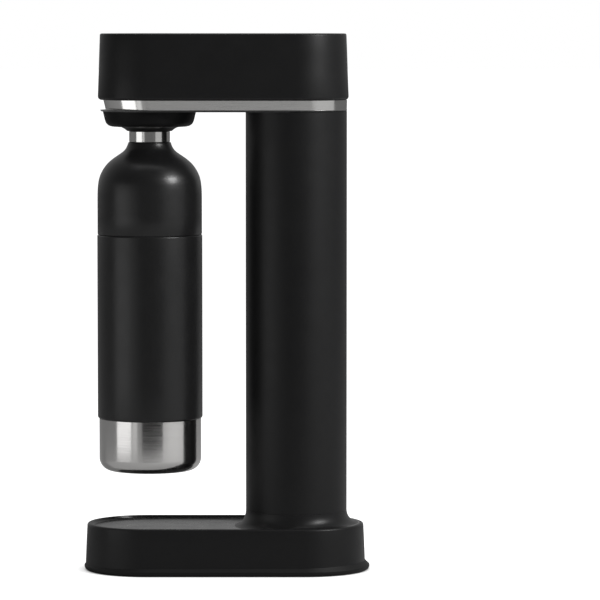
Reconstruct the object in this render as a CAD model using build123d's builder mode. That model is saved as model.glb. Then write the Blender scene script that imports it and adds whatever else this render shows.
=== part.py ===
"""Soda carbonator: base, column and head, with a twist-lock bottle and a gas cylinder screwed in from below.

Units are millimetres. +Z is up and the front faces -X. The origin is on the surface that the machine stands
on, under the middle of the foot lip.
"""
import os
from math import cos, radians, sin, tan

from build123d import *

os.makedirs("parts", exist_ok=True)

# ---------------------------------------------------------------- driving dimensions

# plan
column_x = 54.4             # axis of the column and the gas cylinder
axis_spacing = 114.4        # column to bottle
base_reach = 51.0           # base wall in front of the bottle's axis
base_side_room = 3.6        # finger well's wall to the base wall, at each side
base_rear_room = 12.1       # finger well's wall to the base's rear end
head_reach = 40.2           # head in front of the bottle's axis
head_rear_overhang = 1.35   # head behind the column

# gas cylinder, a standard size
cylinder_radius = 30.0
cylinder_length = 338.5     # without its valve
cylinder_neck_radius = 15.5
cylinder_neck_length = 33.0
cylinder_shoulder_length = 37.0
cylinder_wall = 2.8
label_inset = 12.5          # label to the cylinder's bottom
label_thickness = 0.2
valve_hex_radius = 15.2
valve_hex_height = 8.0
valve_flange_height = 3.0
thread_radius = 10.5
thread_length = 11.0
tip_radius = 6.0
tip_height = 4.0
valve_pin_radius = 1.5

# base
base_height = 33.8          # wall, from the foot lip's ledge to the rim
base_ledge_z = 3.0
base_draft = 2.4            # degrees
base_wall = 3.0
rim_radius = 1.8
tray_depth = 2.7            # dished top, in front of the column's axis
tray_floor_thickness = 2.6
foot_height = 7.2
foot_edge_height = 3.7      # widest part of the lip
foot_slope = 42.0           # degrees, above the widest part
foot_front = 0.9            # foot lip beyond the wall, in front and behind
foot_rear = 3.4
foot_side = 1.9
foot_section = 8.2
foot_lower_radius = 3.0
plate_thickness = 2.5
finger_room = 10.0          # round the cylinder's end
well_wall = 2.0
ballast_length = 88.0
ballast_width = 56.0
ballast_thickness = 14.0
ballast_corner = 8.0
ballast_offset = 16.0       # behind the bottle's axis
base_boss_radius = 3.2
boss_inset = 7.6            # screw bosses to the wall's inside
boss_pilot_depth = 14.0

# column
column_length = 312.0
column_wall = 2.2
flare_height = 10.2         # above the base's rim
flare_reach = 10.0
spigot_height = 8.0
spigot_wall = 2.2
spigot_gap = 0.1
cylinder_gap = 0.8
guide_wall = 1.4
rod_radius = 1.25
rod_head_radius = 2.3
rod_nut_radius = 2.5        # over its corners
rod_nut_height = 2.6
rod_gap = 0.45
rod_room = 2.15             # rod to the column's bore

# head
head_height = 51.6          # above the band
head_draft = 1.9            # degrees
head_wall = 2.6
head_top_thickness = 3.0
head_edge_radius = 2.8
head_top_radius = 1.4
head_overhang = 1.2         # head beyond the column's side
band_height = 7.7
band_wall = 1.6
band_taper = 0.8
band_inset = 0.5            # band inside the column's side
band_front_inset = 4.3      # band's top edge behind the head's front
band_rear_inset = 1.25
band_front_taper = 1.8
band_rear_taper = 0.2
band_seat = 2.0             # housing's ledge on the band
lip_overhang = 0.3
lip_thickness = 1.2
lip_front_inset = 1.8       # lip plate behind the head's front
lip_bevel = 0.9
chassis_gap = 0.8           # lip plate to chassis
chassis_end_gap = 0.35      # chassis to band
chassis_side_gap = 0.2
housing_boss_radius = 4.0
chassis_thickness = 4.0

# button and lever
button_radius = 21.7
button_gap = 0.3
button_sink = 0.3           # button's rim below the head's top
button_wall = 2.2
button_edge_radius = 0.8
dish_depth = 0.8
dish_radius = 240.0
button_skirt = 6.4
stem_radius = 5.0
guide_cup_wall = 2.2
guide_cup_depth = 15.1
guide_floor_thickness = 2.0
guide_flange = 8.0          # beyond the button's radius
guide_flange_thickness = 2.0
guide_screw_radius = 0.9
guide_screw_depth = 1.8     # into the head's top
lever_arm = 29.6            # pivot to pusher
pin_radius = 2.0
lever_width = 12.0
lever_depth = 6.0
lever_eye_radius = 4.6
lever_overhang = 6.0        # past the button's axis
lever_gap = 1.4             # lever to the button guide
actuator_gap = 0.4          # lever to button stem, and lever to pusher

# bottle
bottle_radius = 41.0
shell_step = 0.25           # the sleeve stands proud of the shoulder shell
shell_wall = 2.0
shell_height = 72.1
sleeve_length = 143.8
sleeve_lower_radius = 1.8
sleeve_upper_radius = 0.4
sleeve_wall = 2.2
cup_step = 1.2              # the cup stands inside the sleeve's outline
cup_height = 41.0
cup_corner = 10.0
cup_wall = 0.8
pad_thickness = 2.4
neck_radius = 13.5
neck_wall = 2.7
neck_length = 27.0
mouth_rise = 1.0            # bottle's mouth above the chassis's underside
liner_wall = 1.5
liner_gap = 0.2
lug_reach = 1.7
lug_height = 3.0
lug_angle = 34.0
neck_ring_wall = 2.0
neck_ring_height = 8.2
body_gap = 0.3              # between bodies that move past each other
neck_gap = 0.4              # neck and lugs to what they turn in
running_gap = 0.05          # shafts in their bores

# collar and bottle holder
collar_top_radius = 36.3
collar_height = 15.3
collar_floor = 5.2          # under the holder
holder_radius = 26.0
ledge_height = 3.0
collar_screw_inset = 4.6    # beyond the holder

# valve block, nozzle block and pipe
block_radius = 17.0
block_flange_radius = 22.0
block_body_radius = 14.0
block_flange_thickness = 3.0
block_screw_circle = 18.5
pusher_bore_length = 9.4
pusher_radius = 3.0
pusher_head_radius = 6.0
pusher_head_height = 2.1
nozzle_block_x = 34.0
nozzle_block_y = 44.0
nozzle_block_height = 17.0
nozzle_screw_x = 12.0
nozzle_screw_y = 18.0
gas_bore_radius = 1.2
tube_socket_depth = 8.0
tube_radius = 3.0
tube_length = 145.0         # below the bottle's mouth
tube_bore_radius = 1.8
tip_outer_radius = 4.4
pipe_radius = 2.0
pipe_height = 11.0          # above the chassis
relief_y = 14.0
relief_radius = 5.5
relief_bore_radius = 3.6
relief_stem_radius = 4.0
relief_stem_depth = 6.0     # into the nozzle block
relief_height = 15.0
poppet_radius = 3.5

# fasteners
screw_radius = 1.5
screw_head_radius = 2.8
screw_head_height = 2.0
screw_gap = 0.2             # clearance holes
pilot_radius = 1.3

# ---------------------------------------------------------------- places worked out from them

bottle_x = column_x - axis_spacing

# round the cylinder
guide_bore_radius = cylinder_radius + cylinder_gap
guide_radius = guide_bore_radius + guide_wall
rod_circle = guide_radius + rod_gap + rod_radius
column_bore = rod_circle + rod_radius + rod_room
column_radius = column_bore + column_wall
well_radius = cylinder_radius + finger_room

# base
base_rim_z = base_ledge_z + base_height
base_floor_z = base_rim_z - tray_depth
base_ceiling_z = base_floor_z - tray_floor_thickness
plate_top_z = base_ledge_z + plate_thickness
base_width = 2 * (well_radius + well_wall + base_side_room + base_wall)
base_front_x = bottle_x - base_reach
base_rear_x = column_x + well_radius + well_wall + base_rear_room
base_length = base_rear_x - base_front_x
base_centre_x = (base_rear_x + base_front_x) / 2
foot_length = base_length + foot_front + foot_rear
foot_centre_x = base_centre_x + (foot_rear - foot_front) / 2
foot_width = base_width + 2 * foot_side

# column and head heights
flare_top_z = base_rim_z + flare_height
column_top_z = flare_top_z + column_length
lip_bottom_z = column_top_z
band_bottom_z = lip_bottom_z + lip_thickness
band_top_z = band_bottom_z + band_height
chassis_bottom_z = band_bottom_z + chassis_gap
chassis_top_z = chassis_bottom_z + chassis_thickness
overall_height = band_top_z + head_height
head_ceiling_z = overall_height - head_top_thickness

# head outlines
head_width = 2 * (column_radius + head_overhang)
head_front_x = bottle_x - head_reach
head_rear_x = column_x + column_radius + head_rear_overhang
head_length = head_rear_x - head_front_x
head_centre_x = (head_rear_x + head_front_x) / 2
band_top_width = 2 * (column_radius - band_inset)
band_top_front_x = head_front_x + band_front_inset
band_top_rear_x = head_rear_x - band_rear_inset
band_top_length = band_top_rear_x - band_top_front_x
band_top_centre_x = (band_top_rear_x + band_top_front_x) / 2
band_bottom_width = band_top_width - 2 * band_taper
band_bottom_front_x = band_top_front_x + band_front_taper
band_bottom_rear_x = band_top_rear_x - band_rear_taper
band_bottom_length = band_bottom_rear_x - band_bottom_front_x
band_bottom_centre_x = (band_bottom_rear_x + band_bottom_front_x) / 2
lip_width = 2 * (column_radius + lip_overhang)
lip_front_x = head_front_x + lip_front_inset
lip_rear_x = column_x + column_radius + lip_overhang
lip_length = lip_rear_x - lip_front_x
lip_centre_x = (lip_rear_x + lip_front_x) / 2
chassis_length = band_bottom_length - 2 * (band_wall + chassis_end_gap)
chassis_width = band_bottom_width - 2 * (band_wall + chassis_side_gap)

# button and lever
button_top_z = overall_height - button_sink
button_roof_z = button_top_z - head_top_thickness
guide_cup_top_z = head_ceiling_z
guide_floor_z = guide_cup_top_z - guide_cup_depth
guide_floor_top_z = guide_floor_z + guide_floor_thickness
lever_top_z = guide_floor_z - lever_gap
lever_bottom_z = lever_top_z - lever_depth
pivot_x = column_x + lever_arm
pivot_z = (lever_top_z + lever_bottom_z) / 2

# bottle, hung under the chassis by its neck
mouth_z = chassis_bottom_z + mouth_rise
shoulder_top_z = mouth_z - neck_length
sleeve_top_z = shoulder_top_z - shell_height
sleeve_bottom_z = sleeve_top_z - sleeve_length
cup_bottom_z = sleeve_bottom_z - cup_height
cup_radius = bottle_radius - cup_step
neck_bore_radius = neck_radius - neck_wall
lug_radius = neck_radius + lug_reach
neck_ring_radius = neck_radius + neck_gap + neck_ring_wall
collar_mouth_radius = lug_radius + neck_gap
collar_bottom_z = lip_bottom_z - collar_height
holder_bottom_z = collar_bottom_z + collar_floor
lug_bottom_z = holder_bottom_z + ledge_height + neck_gap
tube_bottom_z = mouth_z - tube_length
nozzle_top_z = chassis_top_z + nozzle_block_height
pipe_z = chassis_top_z + pipe_height

# gas cylinder, hung from its valve in the valve block
thread_bottom_z = column_top_z
thread_top_z = thread_bottom_z + thread_length
cylinder_top_z = thread_bottom_z - valve_flange_height - valve_hex_height
cylinder_bottom_z = cylinder_top_z - cylinder_length
cylinder_neck_z = cylinder_top_z - cylinder_neck_length
cylinder_shoulder_z = cylinder_neck_z - cylinder_shoulder_length
label_bottom_z = cylinder_bottom_z + label_inset
label_top_z = cylinder_shoulder_z - 2.0
washer_thickness = 1.2
washer_top_z = thread_top_z + washer_thickness
tip_top_z = thread_top_z + tip_height
tip_bore_top_z = tip_top_z + 0.6
block_top_z = tip_bore_top_z + pusher_bore_length

# fastener places
rod_angles = [45, 135, 225, 315]
collar_screw_angles = [0, 120, 240]
collar_screw_circle = holder_radius + collar_screw_inset
nozzle_screw_spots = [
    (bottle_x + x, y) for x in (-nozzle_screw_x, nozzle_screw_x) for y in (-nozzle_screw_y, nozzle_screw_y)
]
base_boss_y = base_width / 2 - base_wall - boss_inset
base_mid_x = column_x - 48.4       # bosses between the weight and the finger well
base_screw_spots = [(base_front_x + 13.7, 0), (base_rear_x - 8.5, 0)]        # one at each end
base_screw_spots += [(x, y) for x in (bottle_x - 2, base_mid_x) for y in (-base_boss_y, base_boss_y)]
housing_boss_y = band_bottom_width / 2 - band_wall - boss_inset
housing_boss_x = (bottle_x + 30.0, column_x - 42.4)
housing_screw_spots = [(x, y) for x in housing_boss_x for y in (-housing_boss_y, housing_boss_y)]

column_axis = Axis((column_x, 0, 0), (0, 0, 1))
bottle_axis = Axis((bottle_x, 0, 0), (0, 0, 1))


def save(piece, name):
    """Label a finished piece and write it to its own file."""
    piece.part.label = name
    export_step(piece.part, f"parts/{name}.step")


def on_circle(centre_x, radius, angle):
    """Point on a circle about a vertical axis at centre_x, as x and y."""
    return (centre_x + radius * cos(radians(angle)), radius * sin(radians(angle)))


rod_spots = [on_circle(column_x, rod_circle, angle) for angle in rod_angles]
collar_screw_spots = [on_circle(bottle_x, collar_screw_circle, angle) for angle in collar_screw_angles]
guide_screw_spots = [on_circle(bottle_x, button_radius + 5.0, angle) for angle in (60, 180, 300)]
block_screw_spots = [on_circle(column_x, block_screw_circle, angle) for angle in rod_angles]


# ---------------------------------------------------------------- base

# Flare between the dished top and the column: a quarter ellipse turned round the column's axis,
# kept inside the rim. It is joined into the base cover.
rim_length = base_length - 2 * base_height * tan(radians(base_draft))
rim_width = rim_length - base_length + base_width
with BuildPart() as column_flare:
    with BuildSketch(Plane.XZ):
        with BuildLine():
            flare_top = (column_x + column_radius, flare_top_z)
            flare_end = (column_x + column_radius + flare_reach, base_floor_z)
            flare_centre = (flare_end[0], flare_top_z)
            flare_rise = flare_top_z - base_floor_z
            EllipticalCenterArc(flare_centre, flare_reach, flare_rise, start_angle=180, arc_size=90)
            Line(flare_end, (flare_end[0], base_ceiling_z))
            Line((flare_end[0], base_ceiling_z), (column_x, base_ceiling_z))
            Line((column_x, base_ceiling_z), (column_x, flare_top_z))
            Line((column_x, flare_top_z), flare_top)
        make_face()
    revolve(axis=column_axis)
    with BuildSketch(Plane.XY.offset(base_ceiling_z)):
        with Locations((base_centre_x, 0)):
            SlotOverall(rim_length - base_wall, rim_width - base_wall)
    extrude(amount=flare_top_z - base_ceiling_z, mode=Mode.INTERSECT)

# Outer base moulding: drafted wall, rim, dished top, flare up to the column and the spigot inside the column.
with BuildPart() as base_cover:
    with BuildSketch(Plane.XY.offset(base_ledge_z)):
        with Locations((base_centre_x, 0)):
            SlotOverall(base_length, base_width)
    extrude(amount=base_height, taper=base_draft)
    fillet(base_cover.faces().sort_by(Axis.Z)[-1].outer_wire().edges(), rim_radius)
    with BuildSketch(Plane.XY.offset(base_rim_z)):
        with Locations((base_centre_x, 0)):
            SlotOverall(rim_length - 2 * base_wall, rim_width - 2 * base_wall)
        with Locations((column_x - base_length / 2, 0)):
            Rectangle(base_length, base_width, mode=Mode.INTERSECT)
    extrude(amount=-tray_depth, mode=Mode.SUBTRACT)
    with BuildSketch(Plane.XY.offset(base_ledge_z)):
        with Locations((base_centre_x, 0)):
            SlotOverall(base_length - 2 * base_wall, base_width - 2 * base_wall)
    extrude(amount=base_ceiling_z - base_ledge_z, taper=base_draft, mode=Mode.SUBTRACT)
    add(column_flare.part)
    with BuildSketch(Plane.XY.offset(flare_top_z)):
        with Locations((column_x, 0)):
            Circle(column_bore - spigot_gap)
    extrude(amount=spigot_height)
    with BuildSketch(Plane.XY.offset(base_floor_z)):
        with Locations((column_x, 0)):
            Circle(column_bore - spigot_gap - spigot_wall)
    extrude(amount=flare_top_z + spigot_height - base_floor_z, mode=Mode.SUBTRACT)
    with BuildSketch(Plane.XY.offset(base_ceiling_z - 1)):
        with Locations((column_x, 0)):
            Circle(guide_bore_radius + 0.4)
    extrude(amount=tray_floor_thickness + 2, mode=Mode.SUBTRACT)
    with BuildSketch(Plane.XY.offset(base_ceiling_z - 1)):
        with Locations(*rod_spots):
            Circle(rod_radius + 0.3)
    extrude(amount=flare_top_z + spigot_height - base_ceiling_z + 2, mode=Mode.SUBTRACT)
    with BuildSketch(Plane.XY.offset(plate_top_z)):
        with Locations(*base_screw_spots):
            Circle(base_boss_radius)
    extrude(amount=base_ceiling_z - plate_top_z)
    with BuildSketch(Plane.XY.offset(plate_top_z)):
        with Locations(*base_screw_spots):
            Circle(pilot_radius)
    extrude(amount=boss_pilot_depth, mode=Mode.SUBTRACT)
save(base_cover, "base_cover")

# Soft foot lip that wraps the bottom edge and carries the cover and the plate on an inner ledge.
with BuildPart() as foot_ring:
    with BuildSketch():
        with Locations((foot_centre_x, 0)):
            SlotOverall(foot_length, foot_width)
    extrude(amount=foot_edge_height)
    fillet(foot_ring.edges().group_by(Axis.Z)[0], foot_lower_radius)
    with BuildSketch(Plane.XY.offset(foot_edge_height)):
        with Locations((foot_centre_x, 0)):
            SlotOverall(foot_length, foot_width)
    extrude(amount=foot_height - foot_edge_height, taper=foot_slope)
    with BuildSketch(Plane.XY.offset(base_ledge_z)):
        with Locations((base_centre_x, 0)):
            SlotOverall(base_length, base_width)
    extrude(amount=foot_height, taper=base_draft, mode=Mode.SUBTRACT)
    with BuildSketch():
        with Locations((foot_centre_x, 0)):
            SlotOverall(foot_length - 2 * foot_section, foot_width - 2 * foot_section)
    extrude(amount=foot_height, mode=Mode.SUBTRACT)
save(foot_ring, "foot_ring")

# Bottom plate with the round well that leaves room for fingers at the cylinder's end.
with BuildPart() as base_plate:
    with BuildSketch(Plane.XY.offset(base_ledge_z)):
        with Locations((base_centre_x, 0)):
            SlotOverall(base_length - 2 * base_wall - 0.8, base_width - 2 * base_wall - 0.8)
    extrude(amount=plate_thickness)
    with BuildSketch(Plane.XY.offset(base_ledge_z)):
        with Locations((column_x, 0)):
            Circle(well_radius + well_wall)
    extrude(amount=base_ceiling_z - base_ledge_z - 0.2)
    with BuildSketch(Plane.XY.offset(base_ledge_z)):
        with Locations((column_x, 0)):
            Circle(well_radius)
    extrude(amount=base_ceiling_z - base_ledge_z, mode=Mode.SUBTRACT)
    with BuildSketch(Plane.XY.offset(base_ledge_z)):
        with Locations(*base_screw_spots):
            Circle(screw_radius + screw_gap)
    extrude(amount=plate_thickness, mode=Mode.SUBTRACT)
save(base_plate, "base_plate")


def pan_screws(spots, head_z, length, head_below, radius=screw_radius, head=screw_head_radius):
    """Group of equal pan-head screws: a shank on each spot, with its head under or over the shank."""
    direction = 1 if head_below else -1
    with BuildPart() as group:
        with BuildSketch(Plane.XY.offset(head_z)):
            with Locations(*spots):
                Circle(radius)
        extrude(amount=direction * length)
        with BuildSketch(Plane.XY.offset(head_z)):
            with Locations(*spots):
                Circle(head)
        extrude(amount=-direction * screw_head_height)
        fillet(group.edges().group_by(Axis.Z)[0 if head_below else -1], 0.6)
        with BuildSketch(Plane.XY.offset(head_z - direction * screw_head_height)):
            with Locations(*spots):
                RegularPolygon(1.2, 6)
        extrude(amount=direction * 1.2, mode=Mode.SUBTRACT)
    return group


# Six self-tapping screws from under the plate into the cover's bosses. Their shanks fill the pilot holes.
save(pan_screws(base_screw_spots, base_ledge_z, 12, True, pilot_radius), "base_screws")

# Steel weight that keeps the machine steady when the button is pressed.
with BuildPart() as ballast_plate:
    with BuildSketch(Plane.XY.offset(plate_top_z)):
        with Locations((bottle_x + ballast_offset, 0)):
            RectangleRounded(ballast_length, ballast_width, ballast_corner)
    extrude(amount=ballast_thickness)
    chamfer(ballast_plate.edges().group_by(Axis.Z)[-1], 1)
save(ballast_plate, "ballast_plate")

# ---------------------------------------------------------------- column

with BuildPart() as column_tube:
    with BuildSketch(Plane.XY.offset(flare_top_z)):
        with Locations((column_x, 0)):
            Circle(column_radius)
            Circle(column_bore, mode=Mode.SUBTRACT)
    extrude(amount=column_top_z - flare_top_z)
save(column_tube, "column_tube")

# Structural tube that the cylinder slides up, clamped between the base and the head chassis.
with BuildPart() as cylinder_guide:
    with BuildSketch(Plane.XY.offset(base_floor_z)):
        with Locations((column_x, 0)):
            Circle(guide_radius)
            Circle(guide_bore_radius, mode=Mode.SUBTRACT)
    extrude(amount=chassis_bottom_z - base_floor_z)
save(cylinder_guide, "cylinder_guide")

# Four long rods with pan heads under the base's floor and nuts on the chassis.
rod_length = chassis_top_z + rod_nut_height + 1 - base_ceiling_z
save(pan_screws(rod_spots, base_ceiling_z, rod_length, True, rod_radius, rod_head_radius), "tie_rods")

with BuildPart() as tie_rod_nuts:
    with BuildSketch(Plane.XY.offset(chassis_top_z)):
        with Locations(*rod_spots):
            RegularPolygon(rod_nut_radius, 6)
            Circle(rod_radius, mode=Mode.SUBTRACT)
    extrude(amount=rod_nut_height)
save(tie_rod_nuts, "tie_rod_nuts")

# ---------------------------------------------------------------- head structure

# Flat plate that carries the valve block, the nozzle block, the lever and the housing.
with BuildPart() as head_chassis:
    with BuildSketch(Plane.XY.offset(chassis_bottom_z)):
        with Locations((band_bottom_centre_x, 0)):
            SlotOverall(chassis_length, chassis_width)
        with Locations((column_x, 0)):
            Circle(block_radius + 0.1, mode=Mode.SUBTRACT)
        with Locations((bottle_x, 0)):
            Circle(neck_radius + 0.7, mode=Mode.SUBTRACT)
        with Locations(*rod_spots, *collar_screw_spots, *nozzle_screw_spots, *housing_screw_spots):
            Circle(screw_radius + screw_gap, mode=Mode.SUBTRACT)
    extrude(amount=chassis_thickness)
save(head_chassis, "head_chassis")

# Polished band under the housing, drawn in towards its lower edge.
with BuildPart() as trim_band:
    with BuildSketch(Plane.XY.offset(band_bottom_z)):
        with Locations((band_bottom_centre_x, 0)):
            SlotOverall(band_bottom_length, band_bottom_width)
    with BuildSketch(Plane.XY.offset(band_top_z)):
        with Locations((band_top_centre_x, 0)):
            SlotOverall(band_top_length, band_top_width)
    loft()
    with BuildSketch(Plane.XY.offset(band_bottom_z)):
        with Locations((band_bottom_centre_x, 0)):
            SlotOverall(band_bottom_length - 2 * band_wall, band_bottom_width - 2 * band_wall)
    extrude(amount=band_height, mode=Mode.SUBTRACT)
save(trim_band, "trim_band")

# Thin lip plate between the band and the column, with a bevelled edge all round.
with BuildPart() as head_bottom_plate:
    with BuildSketch(Plane.XY.offset(lip_bottom_z)):
        with Locations((lip_centre_x, 0)):
            SlotOverall(lip_length, lip_width)
    extrude(amount=lip_thickness)
    chamfer(head_bottom_plate.edges().group_by(Axis.Z)[0], lip_bevel)
    with BuildSketch(Plane.XY.offset(lip_bottom_z)):
        with Locations((column_x, 0)):
            Circle(guide_radius + 0.2)
        with Locations((bottle_x, 0)):
            Circle(holder_radius + 0.4)
        with Locations(*rod_spots, *collar_screw_spots):
            Circle(screw_radius + screw_gap)
    extrude(amount=lip_thickness, mode=Mode.SUBTRACT)
save(head_bottom_plate, "head_bottom_plate")

# Head cover: drafted shell, soft lower edge turned in to the band, four bosses and the button's opening.
with BuildPart() as head_housing:
    with BuildSketch(Plane.XY.offset(band_top_z)):
        with Locations((head_centre_x, 0)):
            SlotOverall(head_length, head_width)
    extrude(amount=overall_height - band_top_z, taper=head_draft)
    fillet(head_housing.edges().group_by(Axis.Z)[0], head_edge_radius)
    fillet(head_housing.edges().group_by(Axis.Z)[-1], head_top_radius)
    with BuildSketch(Plane.XY.offset(band_top_z + head_wall)):
        with Locations((head_centre_x, 0)):
            SlotOverall(head_length - 2 * head_wall, head_width - 2 * head_wall)
    extrude(amount=head_ceiling_z - band_top_z - head_wall, taper=head_draft, mode=Mode.SUBTRACT)
    with BuildSketch(Plane.XY.offset(band_top_z)):
        with Locations((band_top_centre_x, 0)):
            SlotOverall(band_top_length - 2 * band_seat, band_top_width - 2 * band_seat)
    extrude(amount=head_wall, mode=Mode.SUBTRACT)
    with BuildSketch(Plane.XY.offset(chassis_top_z)):
        with Locations(*housing_screw_spots):
            Circle(housing_boss_radius)
    extrude(amount=head_ceiling_z - chassis_top_z)
    with BuildSketch(Plane.XY.offset(chassis_top_z)):
        with Locations(*housing_screw_spots):
            Circle(pilot_radius)
    extrude(amount=boss_pilot_depth, mode=Mode.SUBTRACT)
    with BuildSketch(Plane.XY.offset(head_ceiling_z)):
        with Locations((bottle_x, 0)):
            Circle(button_radius + button_gap)
        with Locations(*guide_screw_spots):
            Circle(guide_screw_radius)
    extrude(amount=guide_screw_depth, mode=Mode.SUBTRACT)
    with BuildSketch(Plane.XY.offset(head_ceiling_z)):
        with Locations((bottle_x, 0)):
            Circle(button_radius + button_gap)
    extrude(amount=head_top_thickness, mode=Mode.SUBTRACT)
save(head_housing, "head_housing")

# Four screws from under the chassis up into the housing's bosses.
with BuildPart() as housing_screws:
    with BuildSketch(Plane.XY.offset(chassis_bottom_z)):
        with Locations(*housing_screw_spots):
            Circle(pilot_radius)
    extrude(amount=16)
    with BuildSketch(Plane.XY.offset(chassis_bottom_z)):
        with Locations(*housing_screw_spots):
            Circle(2.6)
    extrude(amount=-0.7)
save(housing_screws, "housing_screws")

# ---------------------------------------------------------------- collar and bottle holder

# Dish-shaped collar: steep flank, rounded lower edge, shallow underside and an ogee down to the neck ring.
with BuildPart() as collar:
    with BuildSketch(Plane.XZ):
        with BuildLine():
            top = (bottle_x + collar_top_radius, lip_bottom_z)
            flank_end = (bottle_x + collar_top_radius - 2.7, lip_bottom_z - 9.4)
            underside = (bottle_x + collar_top_radius - 6.3, collar_bottom_z + 3.6)
            ogee_start = (bottle_x + collar_mouth_radius + 6.6, collar_bottom_z + 2.8)
            ogee_end = (bottle_x + collar_mouth_radius + 1.1, collar_bottom_z)
            Spline(top, flank_end, tangents=[(-0.18, -1), (-0.4, -1)])
            Spline(flank_end, underside, tangents=[(-0.4, -1), (-1, -0.1)])
            Line(underside, ogee_start)
            Spline(ogee_start, ogee_end, tangents=[(-1, -0.14), (-0.35, -1)])
            mouth_x = bottle_x + collar_mouth_radius
            Line(ogee_end, (mouth_x, collar_bottom_z))
            Line((mouth_x, collar_bottom_z), (mouth_x, lip_bottom_z))
            Line((mouth_x, lip_bottom_z), top)
        make_face()
    revolve(axis=bottle_axis)
    with BuildSketch(Plane.XY.offset(holder_bottom_z)):
        with Locations((bottle_x, 0)):
            Circle(holder_radius + 0.1)
    extrude(amount=lip_bottom_z - holder_bottom_z, mode=Mode.SUBTRACT)
    with BuildSketch(Plane.XY.offset(lip_bottom_z)):
        with Locations(*collar_screw_spots):
            Circle(pilot_radius)
    extrude(amount=-8, mode=Mode.SUBTRACT)
save(collar, "collar")

collar_screw_length = chassis_top_z - lip_bottom_z + 7
save(pan_screws(collar_screw_spots, chassis_top_z, collar_screw_length, False, pilot_radius), "collar_screws")

# Bayonet ring: entry slots for the bottle's lugs, a groove over the ledges, and a plain bore round the mouth.
lug_spots = [0, 120, 240]
with BuildPart() as bottle_holder:
    with BuildSketch(Plane.XY.offset(holder_bottom_z)):
        with Locations((bottle_x, 0)):
            Circle(holder_radius)
            Circle(neck_radius + neck_gap, mode=Mode.SUBTRACT)
    extrude(amount=chassis_bottom_z - holder_bottom_z)
    with BuildSketch(Plane.XY.offset(holder_bottom_z + ledge_height)):
        with Locations((bottle_x, 0)):
            Circle(lug_radius + neck_gap)
    extrude(amount=lug_height + 1.2, mode=Mode.SUBTRACT)
    for angle in lug_spots:
        with BuildSketch(Plane.XY.offset(holder_bottom_z)):
            with BuildLine():
                corner_a = on_circle(bottle_x, lug_radius + 4, angle - lug_angle * 0.7)
                corner_b = on_circle(bottle_x, lug_radius + 4, angle + lug_angle * 0.7)
                Polyline((bottle_x, 0), corner_a, corner_b, (bottle_x, 0))
            make_face()
            with Locations((bottle_x, 0)):
                Circle(lug_radius + neck_gap, mode=Mode.INTERSECT)
        extrude(amount=ledge_height, mode=Mode.SUBTRACT)
    with BuildSketch(Plane.XY.offset(chassis_bottom_z)):
        with Locations(*nozzle_screw_spots):
            Circle(pilot_radius)
    extrude(amount=-9, mode=Mode.SUBTRACT)
save(bottle_holder, "bottle_holder")

# ---------------------------------------------------------------- nozzle block, over the bottle

seal_gap = 0.2
with BuildPart() as nozzle_block:
    with BuildSketch(Plane.XY.offset(chassis_top_z)):
        with Locations((bottle_x, 0)):
            RectangleRounded(nozzle_block_x, nozzle_block_y, 5)
    extrude(amount=nozzle_block_height)
    chamfer(nozzle_block.edges().group_by(Axis.Z)[-1], 0.8)
    with BuildSketch(Plane.XY.offset(chassis_top_z)):
        with Locations((bottle_x, 0)):
            Circle(tube_radius)
    extrude(amount=tube_socket_depth, mode=Mode.SUBTRACT)
    with BuildSketch(Plane.XY.offset(chassis_top_z)):
        with Locations((bottle_x, 0)):
            Circle(gas_bore_radius)
    extrude(amount=nozzle_block_height - 4, mode=Mode.SUBTRACT)
    with BuildSketch(Plane.YZ.offset(bottle_x)):
        with Locations((0, pipe_z)):
            Circle(gas_bore_radius)
    extrude(amount=nozzle_block_x / 2, mode=Mode.SUBTRACT)
    with BuildSketch(Plane.XZ.offset(-relief_y)):
        with Locations((bottle_x, pipe_z)):
            Circle(gas_bore_radius)
    extrude(amount=2 * relief_y, mode=Mode.SUBTRACT)
    with BuildSketch(Plane.XY.offset(nozzle_top_z)):
        with Locations((bottle_x, relief_y), (bottle_x, -relief_y)):
            Circle(relief_stem_radius)
    extrude(amount=-relief_stem_depth, mode=Mode.SUBTRACT)
    with BuildSketch(Plane.XY.offset(chassis_top_z)):
        with Locations(*nozzle_screw_spots):
            Circle(screw_radius + screw_gap)
    extrude(amount=nozzle_block_height, mode=Mode.SUBTRACT)
save(nozzle_block, "nozzle_block")

nozzle_screw_length = nozzle_top_z - chassis_bottom_z + 8
save(pan_screws(nozzle_screw_spots, nozzle_top_z, nozzle_screw_length, False, pilot_radius), "nozzle_screws")

with BuildPart() as bottle_seal:
    with BuildSketch(Plane.XY.offset(mouth_z + seal_gap)):
        with Locations((bottle_x, 0)):
            Circle(neck_radius)
            Circle(tube_radius, mode=Mode.SUBTRACT)
    extrude(amount=chassis_top_z - mouth_z - seal_gap)
save(bottle_seal, "bottle_seal")

with BuildPart() as carbonation_tube:
    with BuildSketch(Plane.XY.offset(tube_bottom_z)):
        with Locations((bottle_x, 0)):
            Circle(tube_radius)
            Circle(tube_bore_radius, mode=Mode.SUBTRACT)
    extrude(amount=chassis_top_z + tube_socket_depth - tube_bottom_z)
save(carbonation_tube, "carbonation_tube")

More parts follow.
